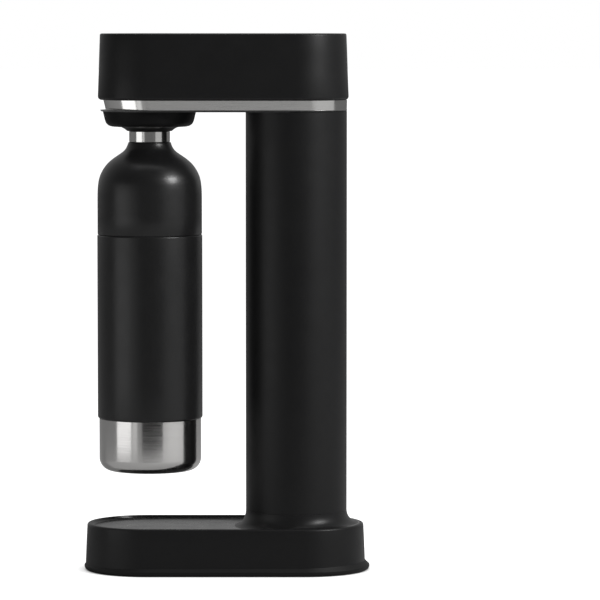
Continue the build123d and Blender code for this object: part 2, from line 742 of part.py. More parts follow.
# Plastic jet pushed over the tube's end, with a tapered nose and a fine hole.
with BuildPart() as nozzle_tip:
    with BuildSketch(Plane.XY.offset(tube_bottom_z + 7)):
        with Locations((bottle_x, 0)):
            Circle(tip_outer_radius)
    extrude(amount=-9)
    with BuildSketch(Plane.XY.offset(tube_bottom_z - 2)):
        with Locations((bottle_x, 0)):
            Circle(tip_outer_radius)
    extrude(amount=-6, taper=18)
    with BuildSketch(Plane.XY.offset(tube_bottom_z)):
        with Locations((bottle_x, 0)):
            Circle(tube_radius)
    extrude(amount=7, mode=Mode.SUBTRACT)
    with BuildSketch(Plane.XY.offset(tube_bottom_z)):
        with Locations((bottle_x, 0)):
            Circle(0.6)
    extrude(amount=-8, mode=Mode.SUBTRACT)
save(nozzle_tip, "nozzle_tip")


def coil_spring(centre_x, centre_y, bottom_z, top_z, mean_radius, wire_radius, turns):
    """Round-wire compression spring that stands between two faces."""
    rise = top_z - bottom_z - 2 * wire_radius - 0.1
    start_z = bottom_z + wire_radius + 0.05
    with BuildPart() as spring:
        with BuildLine():
            Helix(rise / turns, rise, mean_radius, center=(centre_x, centre_y, start_z))
        start = Plane((centre_x + mean_radius, centre_y, start_z), x_dir=(1, 0, 0), z_dir=(0, 1, 0))
        with BuildSketch(start):
            Circle(wire_radius)
        sweep(is_frenet=True)
    return spring


# Relief valve on the block: body with a seat, sliding poppet, spring and screwed cap.
relief_seat_z = nozzle_top_z + 2
relief_top_z = nozzle_top_z + relief_height
poppet_height = 4.0
with BuildPart() as relief_body:
    with BuildSketch(Plane.XY.offset(nozzle_top_z - relief_stem_depth)):
        with Locations((bottle_x, relief_y)):
            Circle(relief_stem_radius)
    extrude(amount=relief_stem_depth)
    with BuildSketch(Plane.XY.offset(nozzle_top_z)):
        with Locations((bottle_x, relief_y)):
            Circle(relief_radius)
    extrude(amount=relief_top_z - nozzle_top_z)
    with BuildSketch(Plane.XY.offset(relief_seat_z)):
        with Locations((bottle_x, relief_y)):
            Circle(relief_bore_radius)
    extrude(amount=relief_top_z - relief_seat_z, mode=Mode.SUBTRACT)
    with BuildSketch(Plane.XY.offset(nozzle_top_z - relief_stem_depth)):
        with Locations((bottle_x, relief_y)):
            Circle(gas_bore_radius)
    extrude(amount=8, mode=Mode.SUBTRACT)
    with BuildSketch(Plane.XZ.offset(-relief_y)):
        with Locations((bottle_x, relief_seat_z + 7)):
            Circle(0.9)
    extrude(amount=-relief_radius, mode=Mode.SUBTRACT)
save(relief_body, "relief_body")

with BuildPart() as relief_poppet:
    with BuildSketch(Plane.XY.offset(relief_seat_z + 0.05)):
        with Locations((bottle_x, relief_y)):
            Circle(poppet_radius)
    extrude(amount=poppet_height)
    chamfer(relief_poppet.edges().group_by(Axis.Z)[0], 0.8)
save(relief_poppet, "relief_poppet")

relief_cap_z = relief_top_z - 3
relief_spring_bottom = relief_seat_z + 0.05 + poppet_height
save(coil_spring(bottle_x, relief_y, relief_spring_bottom, relief_cap_z, 2.5, 0.3, 3), "relief_spring")

with BuildPart() as relief_cap:
    with BuildSketch(Plane.XY.offset(relief_cap_z)):
        with Locations((bottle_x, relief_y)):
            Circle(relief_bore_radius)
    extrude(amount=3)
    with BuildSketch(Plane.XY.offset(relief_top_z)):
        with Locations((bottle_x, relief_y)):
            RegularPolygon(4.6, 6)
    extrude(amount=1.8)
save(relief_cap, "relief_cap")

with BuildPart() as burst_disc_plug:
    with BuildSketch(Plane.XY.offset(nozzle_top_z - relief_stem_depth)):
        with Locations((bottle_x, -relief_y)):
            Circle(relief_stem_radius)
    extrude(amount=relief_stem_depth)
    with BuildSketch(Plane.XY.offset(nozzle_top_z)):
        with Locations((bottle_x, -relief_y)):
            RegularPolygon(6.0, 6)
    extrude(amount=6)
    chamfer(burst_disc_plug.edges().group_by(Axis.Z)[-1], 0.6)
    with BuildSketch(Plane.XY.offset(nozzle_top_z - relief_stem_depth)):
        with Locations((bottle_x, -relief_y)):
            Circle(1.5)
    extrude(amount=10, mode=Mode.SUBTRACT)
save(burst_disc_plug, "burst_disc_plug")

# ---------------------------------------------------------------- valve block, over the gas cylinder

with BuildPart() as valve_block:
    with BuildSketch(Plane.XY.offset(thread_bottom_z + 0.6)):
        with Locations((column_x, 0)):
            Circle(block_radius)
    extrude(amount=chassis_top_z - thread_bottom_z - 0.6)
    with BuildSketch(Plane.XY.offset(chassis_top_z)):
        with Locations((column_x, 0)):
            Circle(block_flange_radius)
    extrude(amount=block_flange_thickness)
    with BuildSketch(Plane.XY.offset(chassis_top_z + block_flange_thickness)):
        with Locations((column_x, 0)):
            Circle(block_body_radius)
    extrude(amount=block_top_z - chassis_top_z - block_flange_thickness)
    chamfer(valve_block.edges().group_by(Axis.Z)[-1], 0.8)
    with BuildSketch(Plane.XY.offset(thread_bottom_z)):
        with Locations((column_x, 0)):
            Circle(thread_radius + body_gap)
    extrude(amount=washer_top_z + 0.2 - thread_bottom_z, mode=Mode.SUBTRACT)
    with BuildSketch(Plane.XY.offset(washer_top_z)):
        with Locations((column_x, 0)):
            Circle(tip_radius + body_gap)
    extrude(amount=tip_bore_top_z - washer_top_z, mode=Mode.SUBTRACT)
    with BuildSketch(Plane.XY.offset(tip_bore_top_z)):
        with Locations((column_x, 0)):
            Circle(pusher_radius + running_gap)
    extrude(amount=block_top_z - tip_bore_top_z, mode=Mode.SUBTRACT)
    with BuildSketch(Plane.YZ.offset(column_x - block_body_radius)):
        with Locations((0, pipe_z)):
            Circle(gas_bore_radius)
    extrude(amount=block_body_radius - pusher_radius, mode=Mode.SUBTRACT)
    with BuildSketch(Plane.XY.offset(chassis_top_z)):
        with Locations(*block_screw_spots):
            Circle(pilot_radius)
    extrude(amount=block_flange_thickness, mode=Mode.SUBTRACT)
save(valve_block, "valve_block")

with BuildPart() as valve_block_screws:
    with BuildSketch(Plane.XY.offset(chassis_top_z)):
        with Locations(*block_screw_spots):
            Circle(pilot_radius)
    extrude(amount=block_flange_thickness)
    with BuildSketch(Plane.XY.offset(chassis_top_z + block_flange_thickness)):
        with Locations(*block_screw_spots):
            Circle(screw_head_radius)
    extrude(amount=screw_head_height)
    fillet(valve_block_screws.edges().group_by(Axis.Z)[-1], 0.6)
save(valve_block_screws, "valve_block_screws")

pusher_bottom_z = tip_top_z + 0.1 + actuator_gap
with BuildPart() as valve_pusher:
    with BuildSketch(Plane.XY.offset(pusher_bottom_z)):
        with Locations((column_x, 0)):
            Circle(pusher_radius)
    extrude(amount=lever_bottom_z - actuator_gap - pusher_bottom_z)
    with BuildSketch(Plane.XY.offset(lever_bottom_z - actuator_gap)):
        with Locations((column_x, 0)):
            Circle(pusher_head_radius)
    extrude(amount=-pusher_head_height)
    fillet(valve_pusher.edges().group_by(Axis.Z)[-1], 0.8)
save(valve_pusher, "valve_pusher")

pusher_spring_top = lever_bottom_z - actuator_gap - pusher_head_height
save(coil_spring(column_x, 0, block_top_z, pusher_spring_top, 4.6, 0.4, 3), "pusher_spring")

# Pipe from the valve block to the nozzle block, with a slow bend to the side to clear the lever's middle.
pipe_start_x = bottle_x + nozzle_block_x / 2
pipe_end_x = column_x - block_body_radius
pipe_run = pipe_end_x - pipe_start_x
with BuildPart() as gas_pipe:
    with BuildLine():
        FilletPolyline(
            (pipe_start_x, 0, pipe_z),
            (pipe_start_x + 0.22 * pipe_run, 0, pipe_z),
            (pipe_start_x + 0.38 * pipe_run, 7, pipe_z),
            (pipe_start_x + 0.62 * pipe_run, 7, pipe_z),
            (pipe_start_x + 0.78 * pipe_run, 0, pipe_z),
            (pipe_end_x, 0, pipe_z),
            radius=12,
        )
    with BuildSketch(Plane.YZ.offset(pipe_start_x)):
        with Locations((0, pipe_z)):
            Circle(pipe_radius)
            Circle(pipe_radius - 0.7, mode=Mode.SUBTRACT)
    sweep()
save(gas_pipe, "gas_pipe")

nut_length = 7.0
with BuildPart() as pipe_nuts:
    with BuildSketch(Plane.YZ.offset(pipe_start_x)):
        with Locations((0, pipe_z)):
            RegularPolygon(5.2, 6)
            Circle(pipe_radius, mode=Mode.SUBTRACT)
    extrude(amount=nut_length)
    with BuildSketch(Plane.YZ.offset(pipe_end_x)):
        with Locations((0, pipe_z)):
            RegularPolygon(5.2, 6)
            Circle(pipe_radius, mode=Mode.SUBTRACT)
    extrude(amount=-nut_length)
save(pipe_nuts, "pipe_nuts")

# ---------------------------------------------------------------- press lever and button

cheek_gap = 1.0
cheek_thickness = 3.0
bracket_length = 12.0
with BuildPart() as lever_bracket:
    with BuildSketch(Plane.XY.offset(chassis_top_z)):
        with Locations((pivot_x, 0)):
            Rectangle(bracket_length, lever_width + 2 * (cheek_gap + cheek_thickness))
    extrude(amount=pivot_z + 5 - chassis_top_z)
    with BuildSketch(Plane.XY.offset(chassis_top_z + 3)):
        with Locations((pivot_x, 0)):
            Rectangle(bracket_length, lever_width + 2 * cheek_gap)
    extrude(amount=pivot_z + 5 - chassis_top_z, mode=Mode.SUBTRACT)
    fillet(lever_bracket.edges().filter_by(Axis.Y).group_by(Axis.Z)[-1], 4)
    with BuildSketch(Plane.XZ.offset(-lever_width)):
        with Locations((pivot_x, pivot_z)):
            Circle(pin_radius)
    extrude(amount=2 * lever_width, mode=Mode.SUBTRACT)
save(lever_bracket, "lever_bracket")

pin_length = lever_width + 2 * (cheek_gap + cheek_thickness) + 3
with BuildPart() as lever_pin:
    with BuildSketch(Plane.XZ.offset(-pin_length / 2)):
        with Locations((pivot_x, pivot_z)):
            Circle(pin_radius)
    extrude(amount=pin_length)
    chamfer(lever_pin.edges(), 0.3)
save(lever_pin, "lever_pin")

# Two spring clips that keep the pin in the bracket.
clip_y = lever_width / 2 + cheek_gap + cheek_thickness
with BuildPart() as pin_clips:
    with BuildSketch(Plane.XZ.offset(-clip_y - 0.6)):
        with Locations((pivot_x, pivot_z)):
            Circle(pin_radius + 1.4)
            Circle(pin_radius, mode=Mode.SUBTRACT)
    extrude(amount=0.5)
    with BuildSketch(Plane.XZ.offset(clip_y + 0.6)):
        with Locations((pivot_x, pivot_z)):
            Circle(pin_radius + 1.4)
            Circle(pin_radius, mode=Mode.SUBTRACT)
    extrude(amount=-0.5)
save(pin_clips, "pin_clips")

# Long lever from the pivot, over the pusher, to the button's stem.
lever_tip_x = bottle_x - lever_overhang
with BuildPart() as press_lever:
    with BuildSketch(Plane.XZ.offset(-lever_width / 2)):
        with Locations(((lever_tip_x + pivot_x) / 2, pivot_z)):
            Rectangle(pivot_x - lever_tip_x, lever_depth)
        with Locations((pivot_x, pivot_z)):
            Circle(lever_eye_radius)
            Circle(pin_radius + running_gap, mode=Mode.SUBTRACT)
    extrude(amount=lever_width)
    fillet(press_lever.edges().filter_by(Axis.Y).group_by(Axis.X)[0], 1.5)
    with BuildSketch(Plane.XY.offset(lever_top_z)):
        with Locations(((lever_tip_x + pivot_x) / 2, 0)):
            SlotOverall(pivot_x - lever_tip_x - 50, lever_width - 6)
    extrude(amount=-2, mode=Mode.SUBTRACT)
save(press_lever, "press_lever")

# Button: dished cap with a skirt and a stem that rests on the lever.
with BuildPart() as press_button:
    with BuildSketch(Plane.XY.offset(button_top_z)):
        with Locations((bottle_x, 0)):
            Circle(button_radius)
    extrude(amount=-button_skirt)
    fillet(press_button.edges().group_by(Axis.Z)[-1], button_edge_radius)
    with BuildSketch(Plane.XY.offset(button_roof_z)):
        with Locations((bottle_x, 0)):
            Circle(button_radius - button_wall)
    extrude(amount=-(button_skirt - head_top_thickness), mode=Mode.SUBTRACT)
    with BuildSketch(Plane.XY.offset(button_roof_z)):
        with Locations((bottle_x, 0)):
            Circle(stem_radius)
    extrude(amount=lever_top_z + actuator_gap - button_roof_z)
    with BuildSketch(Plane.XZ):
        with Locations((bottle_x, button_top_z + dish_radius - dish_depth)):
            Circle(dish_radius)
        with Locations((bottle_x + dish_radius, button_top_z)):
            Rectangle(2 * dish_radius, 5, mode=Mode.INTERSECT)
    revolve(axis=bottle_axis, mode=Mode.SUBTRACT)
save(press_button, "press_button")

# Cup that guides the button, with a flange against the head's ceiling.
with BuildPart() as button_guide:
    with BuildSketch(Plane.XY.offset(guide_floor_z)):
        with Locations((bottle_x, 0)):
            Circle(button_radius + button_gap + guide_cup_wall)
    extrude(amount=guide_cup_top_z - guide_floor_z)
    with BuildSketch(Plane.XY.offset(guide_cup_top_z)):
        with Locations((bottle_x, 0)):
            Circle(button_radius + guide_flange)
    extrude(amount=-guide_flange_thickness)
    with BuildSketch(Plane.XY.offset(guide_floor_top_z)):
        with Locations((bottle_x, 0)):
            Circle(button_radius + button_gap)
    extrude(amount=guide_cup_top_z - guide_floor_top_z, mode=Mode.SUBTRACT)
    with BuildSketch(Plane.XY.offset(guide_floor_z)):
        with Locations((bottle_x, 0)):
            Circle(stem_radius + body_gap)
    extrude(amount=guide_floor_thickness, mode=Mode.SUBTRACT)
    with BuildSketch(Plane.XY.offset(guide_cup_top_z)):
        with Locations(*guide_screw_spots):
            Circle(guide_screw_radius)
    extrude(amount=-guide_flange_thickness, mode=Mode.SUBTRACT)
save(button_guide, "button_guide")

with BuildPart() as guide_screws:
    with BuildSketch(Plane.XY.offset(guide_cup_top_z - guide_flange_thickness)):
        with Locations(*guide_screw_spots):
            Circle(guide_screw_radius)
    extrude(amount=guide_flange_thickness + guide_screw_depth - 0.1)
    with BuildSketch(Plane.XY.offset(guide_cup_top_z - guide_flange_thickness)):
        with Locations(*guide_screw_spots):
            Circle(1.8)
    extrude(amount=-1.2)
save(guide_screws, "guide_screws")

save(coil_spring(bottle_x, 0, guide_floor_top_z, button_roof_z, 12.0, 0.6, 2.5), "button_spring")

# ---------------------------------------------------------------- bottle

# Shoulder outline: share of the way from the neck to the wall, and drop below the neck.
shoulder_points = [(0.0, 0.0), (0.098, 4.7), (0.322, 9.3), (0.592, 14.2), (0.845, 21.8), (0.955, 29.7), (0.984, 36.0)]
shoulder_height = 43.6
shoulder_neck_radius = neck_radius + 3.0


def shoulder_profile(inset, end_radius):
    """Outline of the bottle's shoulder, moved in by inset, from the neck down to a vertical wall."""
    spread = bottle_radius - shoulder_neck_radius
    points = []
    for share, drop in shoulder_points:
        radius = shoulder_neck_radius + share * spread - inset
        points.append((bottle_x + radius, shoulder_top_z - drop - 0.4 * inset))
    points.append((bottle_x + end_radius, shoulder_top_z - shoulder_height))
    return points


shell_radius = bottle_radius - shell_step
with BuildPart() as shoulder_shell:
    with BuildSketch(Plane.XZ):
        with BuildLine():
            outer = shoulder_profile(0, shell_radius)
            Spline(*outer, tangents=[(0.12, -1), (0, -1)])
            Line(outer[-1], (bottle_x + shell_radius, sleeve_top_z))
            Line((bottle_x + shell_radius, sleeve_top_z), (bottle_x, sleeve_top_z))
            Line((bottle_x, sleeve_top_z), (bottle_x, shoulder_top_z))
            Line((bottle_x, shoulder_top_z), outer[0])
        make_face()
    revolve(axis=bottle_axis)
    with BuildSketch(Plane.XZ):
        with BuildLine():
            inner = shoulder_profile(shell_wall, shell_radius - shell_wall)
            Spline(*inner, tangents=[(0.12, -1), (0, -1)])
            Line(inner[-1], (bottle_x + shell_radius - shell_wall, sleeve_top_z))
            Line((bottle_x + shell_radius - shell_wall, sleeve_top_z), (bottle_x, sleeve_top_z))
            Line((bottle_x, sleeve_top_z), (bottle_x, shoulder_top_z))
            Line((bottle_x, shoulder_top_z), (inner[0][0], shoulder_top_z))
            Line((inner[0][0], shoulder_top_z), inner[0])
        make_face()
    revolve(axis=bottle_axis, mode=Mode.SUBTRACT)
save(shoulder_shell, "shoulder_shell")

with BuildPart() as bottle_sleeve:
    with BuildSketch(Plane.XY.offset(sleeve_bottom_z)):
        with Locations((bottle_x, 0)):
            Circle(bottle_radius)
    extrude(amount=sleeve_top_z - sleeve_bottom_z)
    fillet(bottle_sleeve.edges().group_by(Axis.Z)[0], sleeve_lower_radius)
    fillet(bottle_sleeve.edges().group_by(Axis.Z)[-1], sleeve_upper_radius)
    with BuildSketch(Plane.XY.offset(sleeve_bottom_z)):
        with Locations((bottle_x, 0)):
            Circle(bottle_radius - sleeve_wall)
    extrude(amount=sleeve_top_z - sleeve_bottom_z, mode=Mode.SUBTRACT)
save(bottle_sleeve, "bottle_sleeve")

with BuildPart() as base_cup:
    with BuildSketch(Plane.XY.offset(cup_bottom_z)):
        with Locations((bottle_x, 0)):
            Circle(cup_radius)
    extrude(amount=sleeve_bottom_z - cup_bottom_z)
    fillet(base_cup.edges().group_by(Axis.Z)[0], cup_corner)
    offset(amount=-cup_wall, openings=base_cup.faces().sort_by(Axis.Z)[-1], kind=Kind.INTERSECTION)
save(base_cup, "base_cup")

pad_bottom_z = cup_bottom_z + cup_wall
with BuildPart() as cup_pad:
    with BuildSketch(Plane.XY.offset(pad_bottom_z)):
        with Locations((bottle_x, 0)):
            Circle(cup_radius - cup_wall - cup_corner)
    extrude(amount=pad_thickness)
    chamfer(cup_pad.edges().group_by(Axis.Z)[-1], 0.6)
save(cup_pad, "cup_pad")

# PET pressure bottle: neck with three bayonet lugs, domed shoulder, straight wall and rounded foot.
liner_radius = bottle_radius - sleeve_wall - liner_gap
liner_bottom_z = pad_bottom_z + pad_thickness
foot_radius = 14.0
liner_inset = shell_wall + 0.6
with BuildPart() as bottle_liner:
    for inset, top_z in ((0, mouth_z), (liner_wall, mouth_z)):
        wall_radius = liner_radius - inset
        neck = neck_radius if inset == 0 else neck_bore_radius
        with BuildSketch(Plane.XZ):
            with BuildLine():
                dome = shoulder_profile(liner_inset + inset, wall_radius)[1:]
                neck_foot = (bottle_x + neck, shoulder_top_z - 1.5 - inset)
                Line((bottle_x + neck, top_z), neck_foot)
                Spline(neck_foot, *dome, tangents=[(0.3, -1), (0, -1)])
                corner_top = (bottle_x + wall_radius, liner_bottom_z + foot_radius)
                corner_end = (bottle_x + wall_radius - foot_radius + inset, liner_bottom_z + inset)
                Line(dome[-1], corner_top)
                RadiusArc(corner_top, corner_end, foot_radius - inset)
                Line(corner_end, (bottle_x, liner_bottom_z + inset))
                Line((bottle_x, liner_bottom_z + inset), (bottle_x, top_z))
                Line((bottle_x, top_z), (bottle_x + neck, top_z))
            make_face()
        revolve(axis=bottle_axis, mode=Mode.ADD if inset == 0 else Mode.SUBTRACT)
    for angle in lug_spots:
        with BuildSketch(Plane.XY.offset(lug_bottom_z)):
            with BuildLine():
                corner_a = on_circle(bottle_x, lug_radius + 4, angle - lug_angle / 2)
                corner_b = on_circle(bottle_x, lug_radius + 4, angle + lug_angle / 2)
                Polyline((bottle_x, 0), corner_a, corner_b, (bottle_x, 0))
            make_face()
            with Locations((bottle_x, 0)):
                Circle(lug_radius, mode=Mode.INTERSECT)
                Circle(neck_bore_radius + 0.5, mode=Mode.SUBTRACT)
        extrude(amount=lug_height)
save(bottle_liner, "bottle_liner")

# Steel trim ring round the neck, loose between the shoulder and the collar.
with BuildPart() as neck_ring:
    with BuildSketch(Plane.XY.offset(shoulder_top_z + 0.2)):
        with Locations((bottle_x, 0)):
            Circle(neck_ring_radius)
            Circle(neck_ring_radius - neck_ring_wall, mode=Mode.SUBTRACT)
    extrude(amount=neck_ring_height)
    chamfer(neck_ring.edges().group_by(Axis.Z)[-1], 0.3)
save(neck_ring, "neck_ring")

# ---------------------------------------------------------------- gas cylinder

with BuildPart() as gas_cylinder:
    for inset in (0, cylinder_wall):
        radius = cylinder_radius - inset
        neck = cylinder_neck_radius - (0 if inset == 0 else 7.0)
        with BuildSketch(Plane.XZ):
            with BuildLine():
                bottom = cylinder_bottom_z + 2 * inset
                corner = 6.0 - inset
                Line((column_x, bottom), (column_x + radius - corner, bottom))
                RadiusArc((column_x + radius - corner, bottom), (column_x + radius, bottom + corner), -corner)
                Line((column_x + radius, bottom + corner), (column_x + radius, cylinder_shoulder_z))
                Spline(
                    (column_x + radius, cylinder_shoulder_z),
                    (column_x + (radius + neck) / 2 + 2, cylinder_shoulder_z + 24),
                    (column_x + neck, cylinder_neck_z + inset),
                    tangents=[(0, 1), (0, 1)],
                )
                Line((column_x + neck, cylinder_neck_z + inset), (column_x + neck, cylinder_top_z))
                Line((column_x + neck, cylinder_top_z), (column_x, cylinder_top_z))
                Line((column_x, cylinder_top_z), (column_x, bottom))
            make_face()
        revolve(axis=column_axis, mode=Mode.ADD if inset == 0 else Mode.SUBTRACT)
save(gas_cylinder, "gas_cylinder")

with BuildPart() as cylinder_label:
    with BuildSketch(Plane.XY.offset(label_bottom_z)):
        with Locations((column_x, 0)):
            Circle(cylinder_radius + label_thickness)
            Circle(cylinder_radius, mode=Mode.SUBTRACT)
    extrude(amount=label_top_z - label_bottom_z)
save(cylinder_label, "cylinder_label")

# Brass valve: stub in the neck, hexagon, flange, threaded outlet and a hollow tip round the pin.
stub_radius = cylinder_neck_radius - 7.0
pin_bottom_z = cylinder_top_z + 1
recess_depth = 3.0
with BuildPart() as cylinder_valve:
    with BuildSketch(Plane.XY.offset(cylinder_top_z - 12)):
        with Locations((column_x, 0)):
            Circle(stub_radius)
    extrude(amount=12)
    with BuildSketch(Plane.XY.offset(cylinder_top_z)):
        with Locations((column_x, 0)):
            RegularPolygon(valve_hex_radius, 6)
    extrude(amount=valve_hex_height)
    with BuildSketch(Plane.XY.offset(cylinder_top_z + valve_hex_height)):
        with Locations((column_x, 0)):
            Circle(valve_hex_radius - 1.7)
    extrude(amount=valve_flange_height)
    with BuildSketch(Plane.XY.offset(thread_bottom_z)):
        with Locations((column_x, 0)):
            Circle(thread_radius)
    extrude(amount=thread_top_z - thread_bottom_z)
    chamfer(cylinder_valve.edges().group_by(Axis.Z)[-1], 0.8)
    with BuildSketch(Plane.XY.offset(thread_top_z)):
        with Locations((column_x, 0)):
            Circle(tip_radius)
    extrude(amount=tip_height)
    with BuildSketch(Plane.XY.offset(tip_top_z - recess_depth)):
        with Locations((column_x, 0)):
            Circle(pusher_radius + 0.6)
    extrude(amount=recess_depth, mode=Mode.SUBTRACT)
    with BuildSketch(Plane.XY.offset(pin_bottom_z - 3)):
        with Locations((column_x, 0)):
            Circle(valve_pin_radius + running_gap)
    extrude(amount=tip_top_z - pin_bottom_z + 3, mode=Mode.SUBTRACT)
save(cylinder_valve, "cylinder_valve")

with BuildPart() as valve_pin:
    with BuildSketch(Plane.XY.offset(pin_bottom_z)):
        with Locations((column_x, 0)):
            Circle(valve_pin_radius)
    extrude(amount=tip_top_z + 0.1 - pin_bottom_z)
    chamfer(valve_pin.edges().group_by(Axis.Z)[-1], 0.3)
save(valve_pin, "valve_pin")

# Flat washer that seals the valve's shoulder in the block.
with BuildPart() as cylinder_seal:
    with BuildSketch(Plane.XY.offset(thread_top_z)):
        with Locations((column_x, 0)):
            Circle(thread_radius - 0.1)
            Circle(tip_radius + body_gap, mode=Mode.SUBTRACT)
    extrude(amount=washer_thickness)
save(cylinder_seal, "cylinder_seal")
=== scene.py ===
import math

import bmesh
import bpy
import numpy as np
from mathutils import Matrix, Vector


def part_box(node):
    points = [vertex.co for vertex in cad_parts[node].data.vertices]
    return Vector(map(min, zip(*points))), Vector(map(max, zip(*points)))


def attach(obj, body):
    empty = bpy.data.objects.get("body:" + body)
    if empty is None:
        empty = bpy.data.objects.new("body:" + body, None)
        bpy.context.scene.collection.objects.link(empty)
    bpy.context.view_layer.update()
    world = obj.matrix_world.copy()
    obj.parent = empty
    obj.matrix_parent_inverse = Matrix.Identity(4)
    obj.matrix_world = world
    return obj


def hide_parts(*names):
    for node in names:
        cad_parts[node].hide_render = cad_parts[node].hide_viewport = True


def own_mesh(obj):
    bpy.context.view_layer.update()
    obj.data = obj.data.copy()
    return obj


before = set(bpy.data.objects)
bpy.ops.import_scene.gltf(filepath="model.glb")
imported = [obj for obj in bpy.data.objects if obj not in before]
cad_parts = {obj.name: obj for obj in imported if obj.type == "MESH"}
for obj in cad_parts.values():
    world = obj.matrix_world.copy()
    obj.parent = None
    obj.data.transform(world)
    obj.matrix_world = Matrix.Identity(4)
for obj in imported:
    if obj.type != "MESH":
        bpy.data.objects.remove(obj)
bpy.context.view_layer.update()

# ---------------------------------------------------------------- camera, floor and studio lights
# A long lens from the machine's right-hand side, just above the height of its top. The room
# is white paper behind and below, dim in front, with tall soft boxes at the left and the right.
scene = bpy.context.scene
scene.view_settings.view_transform = "Standard"
camera_data = bpy.data.cameras.new("side_camera")
camera_data.sensor_width = 36
camera_data.lens = 240
camera = bpy.data.objects.new("side_camera", camera_data)
scene.collection.objects.link(camera)
scene.camera = camera
camera.location = (0.0573, -3.12, 0.432)
aim = Vector((0.0573, 0, 0.2115))
camera.rotation_euler = (aim - camera.location).to_track_quat("-Z", "Y").to_euler()

floor_size = 60
floor_sheet = bpy.data.meshes.new("floor")
floor_corners = floor_size / 2 * np.array([(-1, -1, 0), (1, -1, 0), (1, 1, 0), (-1, 1, 0)])
floor_sheet.from_pydata(floor_corners.tolist(), [], [(0, 1, 2, 3)])
floor = bpy.data.objects.new("floor", floor_sheet)
scene.collection.objects.link(floor)
paper = bpy.data.materials.new("pale_floor")
paper.use_nodes = True
paper_tree = paper.node_tree
paper_shader = paper_tree.nodes["Principled BSDF"]
paper_shader.inputs["Base Color"].default_value = (0.56, 0.56, 0.56, 1)
paper_shader.inputs["Roughness"].default_value = 0.9
paper_shader.inputs["Specular IOR Level"].default_value = 0.0
paper_shader.inputs["Emission Color"].default_value = (1, 1, 1, 1)
# The floor glows white to the camera only, and ambient occlusion dims that glow close to the machine: a
# painted contact shadow.
seen = paper_tree.nodes.new("ShaderNodeLightPath")
lift = paper_tree.nodes.new("ShaderNodeMath")
lift.operation = "MULTIPLY"
under = paper_tree.nodes.new("ShaderNodeAmbientOcclusion")
under.inputs["Distance"].default_value = 0.012
paper_tree.links.new(seen.outputs["Is Camera Ray"], lift.inputs[0])
paper_tree.links.new(under.outputs["AO"], lift.inputs[1])
paper_tree.links.new(lift.outputs[0], paper_shader.inputs["Emission Strength"])
floor_sheet.materials.append(paper)

room = bpy.data.worlds.new("studio")
scene.world = room
room.use_nodes = True
room_tree = room.node_tree
room_tree.nodes.clear()
towards = room_tree.nodes.new("ShaderNodeTexCoord")
split = room_tree.nodes.new("ShaderNodeSeparateXYZ")
room_tree.links.new(towards.outputs["Generated"], split.inputs[0])
fade = room_tree.nodes.new("ShaderNodeMapRange")
fade.interpolation_type = "SMOOTHSTEP"
for socket, value in (("From Min", -0.5), ("From Max", 1.0), ("To Min", 0.10), ("To Max", 0.45)):
    fade.inputs[socket].default_value = value
room_tree.links.new(split.outputs["Y"], fade.inputs["Value"])
ray = room_tree.nodes.new("ShaderNodeLightPath")
pick = room_tree.nodes.new("ShaderNodeMix")
pick.inputs["B"].default_value = 1.0
room_tree.links.new(ray.outputs["Is Camera Ray"], pick.inputs["Factor"])
room_tree.links.new(fade.outputs["Result"], pick.inputs["A"])
backdrop = room_tree.nodes.new("ShaderNodeBackground")
backdrop.inputs["Color"].default_value = (1, 1, 1, 1)
room_tree.links.new(pick.outputs["Result"], backdrop.inputs["Strength"])
room_out = room_tree.nodes.new("ShaderNodeOutputWorld")
room_tree.links.new(backdrop.outputs[0], room_out.inputs[0])


def softbox(name, azimuth, elevation, distance, width, height, watts, middle_z=0.22):
    """Rectangular light at an azimuth (0 is the camera's side, positive to the right), facing the machine."""
    data = bpy.data.lights.new(name, "AREA")
    data.shape = "RECTANGLE"
    data.size, data.size_y, data.energy = width, height, watts
    light = bpy.data.objects.new(name, data)
    scene.collection.objects.link(light)
    turn, rise = math.radians(azimuth), math.radians(elevation)
    middle = Vector((0, 0, middle_z))
    light.location = middle + distance * Vector(
        (math.sin(turn) * math.cos(rise), -math.cos(turn) * math.cos(rise), math.sin(rise))
    )
    light.rotation_euler = (middle - light.location).to_track_quat("-Z", "Y").to_euler()
    light.visible_camera = False


softbox("left_strip", -61, 0, 0.75, 0.46, 0.40, 0.58, 0.205)
softbox("left_fill", -36, 0, 0.75, 0.14, 0.40, 0.07, 0.205)
softbox("right_box", 64, 4, 1.6, 1.9, 1.3, 2.4, 0.60)
softbox("key", 56, 30, 1.7, 0.42, 0.42, 21.0)
softbox("overhead", 0, 88, 1.8, 1.6, 1.0, 6.0)

# A low black card in front, out of the camera's sight: it only darkens what the bottle's cup reflects.
card_sheet = bpy.data.meshes.new("front_card")
card_corners = [(-0.28, -0.75, 0.0), (0.37, -0.75, 0.0), (0.37, -0.75, 0.15), (-0.28, -0.75, 0.15)]
card_sheet.from_pydata(card_corners, [], [(0, 1, 2, 3)])
card = bpy.data.objects.new("front_card", card_sheet)
scene.collection.objects.link(card)
card.visible_camera = card.visible_shadow = card.visible_diffuse = False
card_black = bpy.data.materials.new("card_black")
card_black.use_nodes = True
card_black.node_tree.nodes["Principled BSDF"].inputs["Base Color"].default_value = (0.01, 0.01, 0.01, 1)
card_black.node_tree.nodes["Principled BSDF"].inputs["Roughness"].default_value = 1.0
card_sheet.materials.append(card_black)

# ---------------------------------------------------------------- base cover
# The big lower moulding: a drafted wall with a small rim radius, a dished top under the bottle and a
# flare that grows up into the column. Injection-moulded ABS in black, with a fine spark-eroded grain.

mm = 0.001


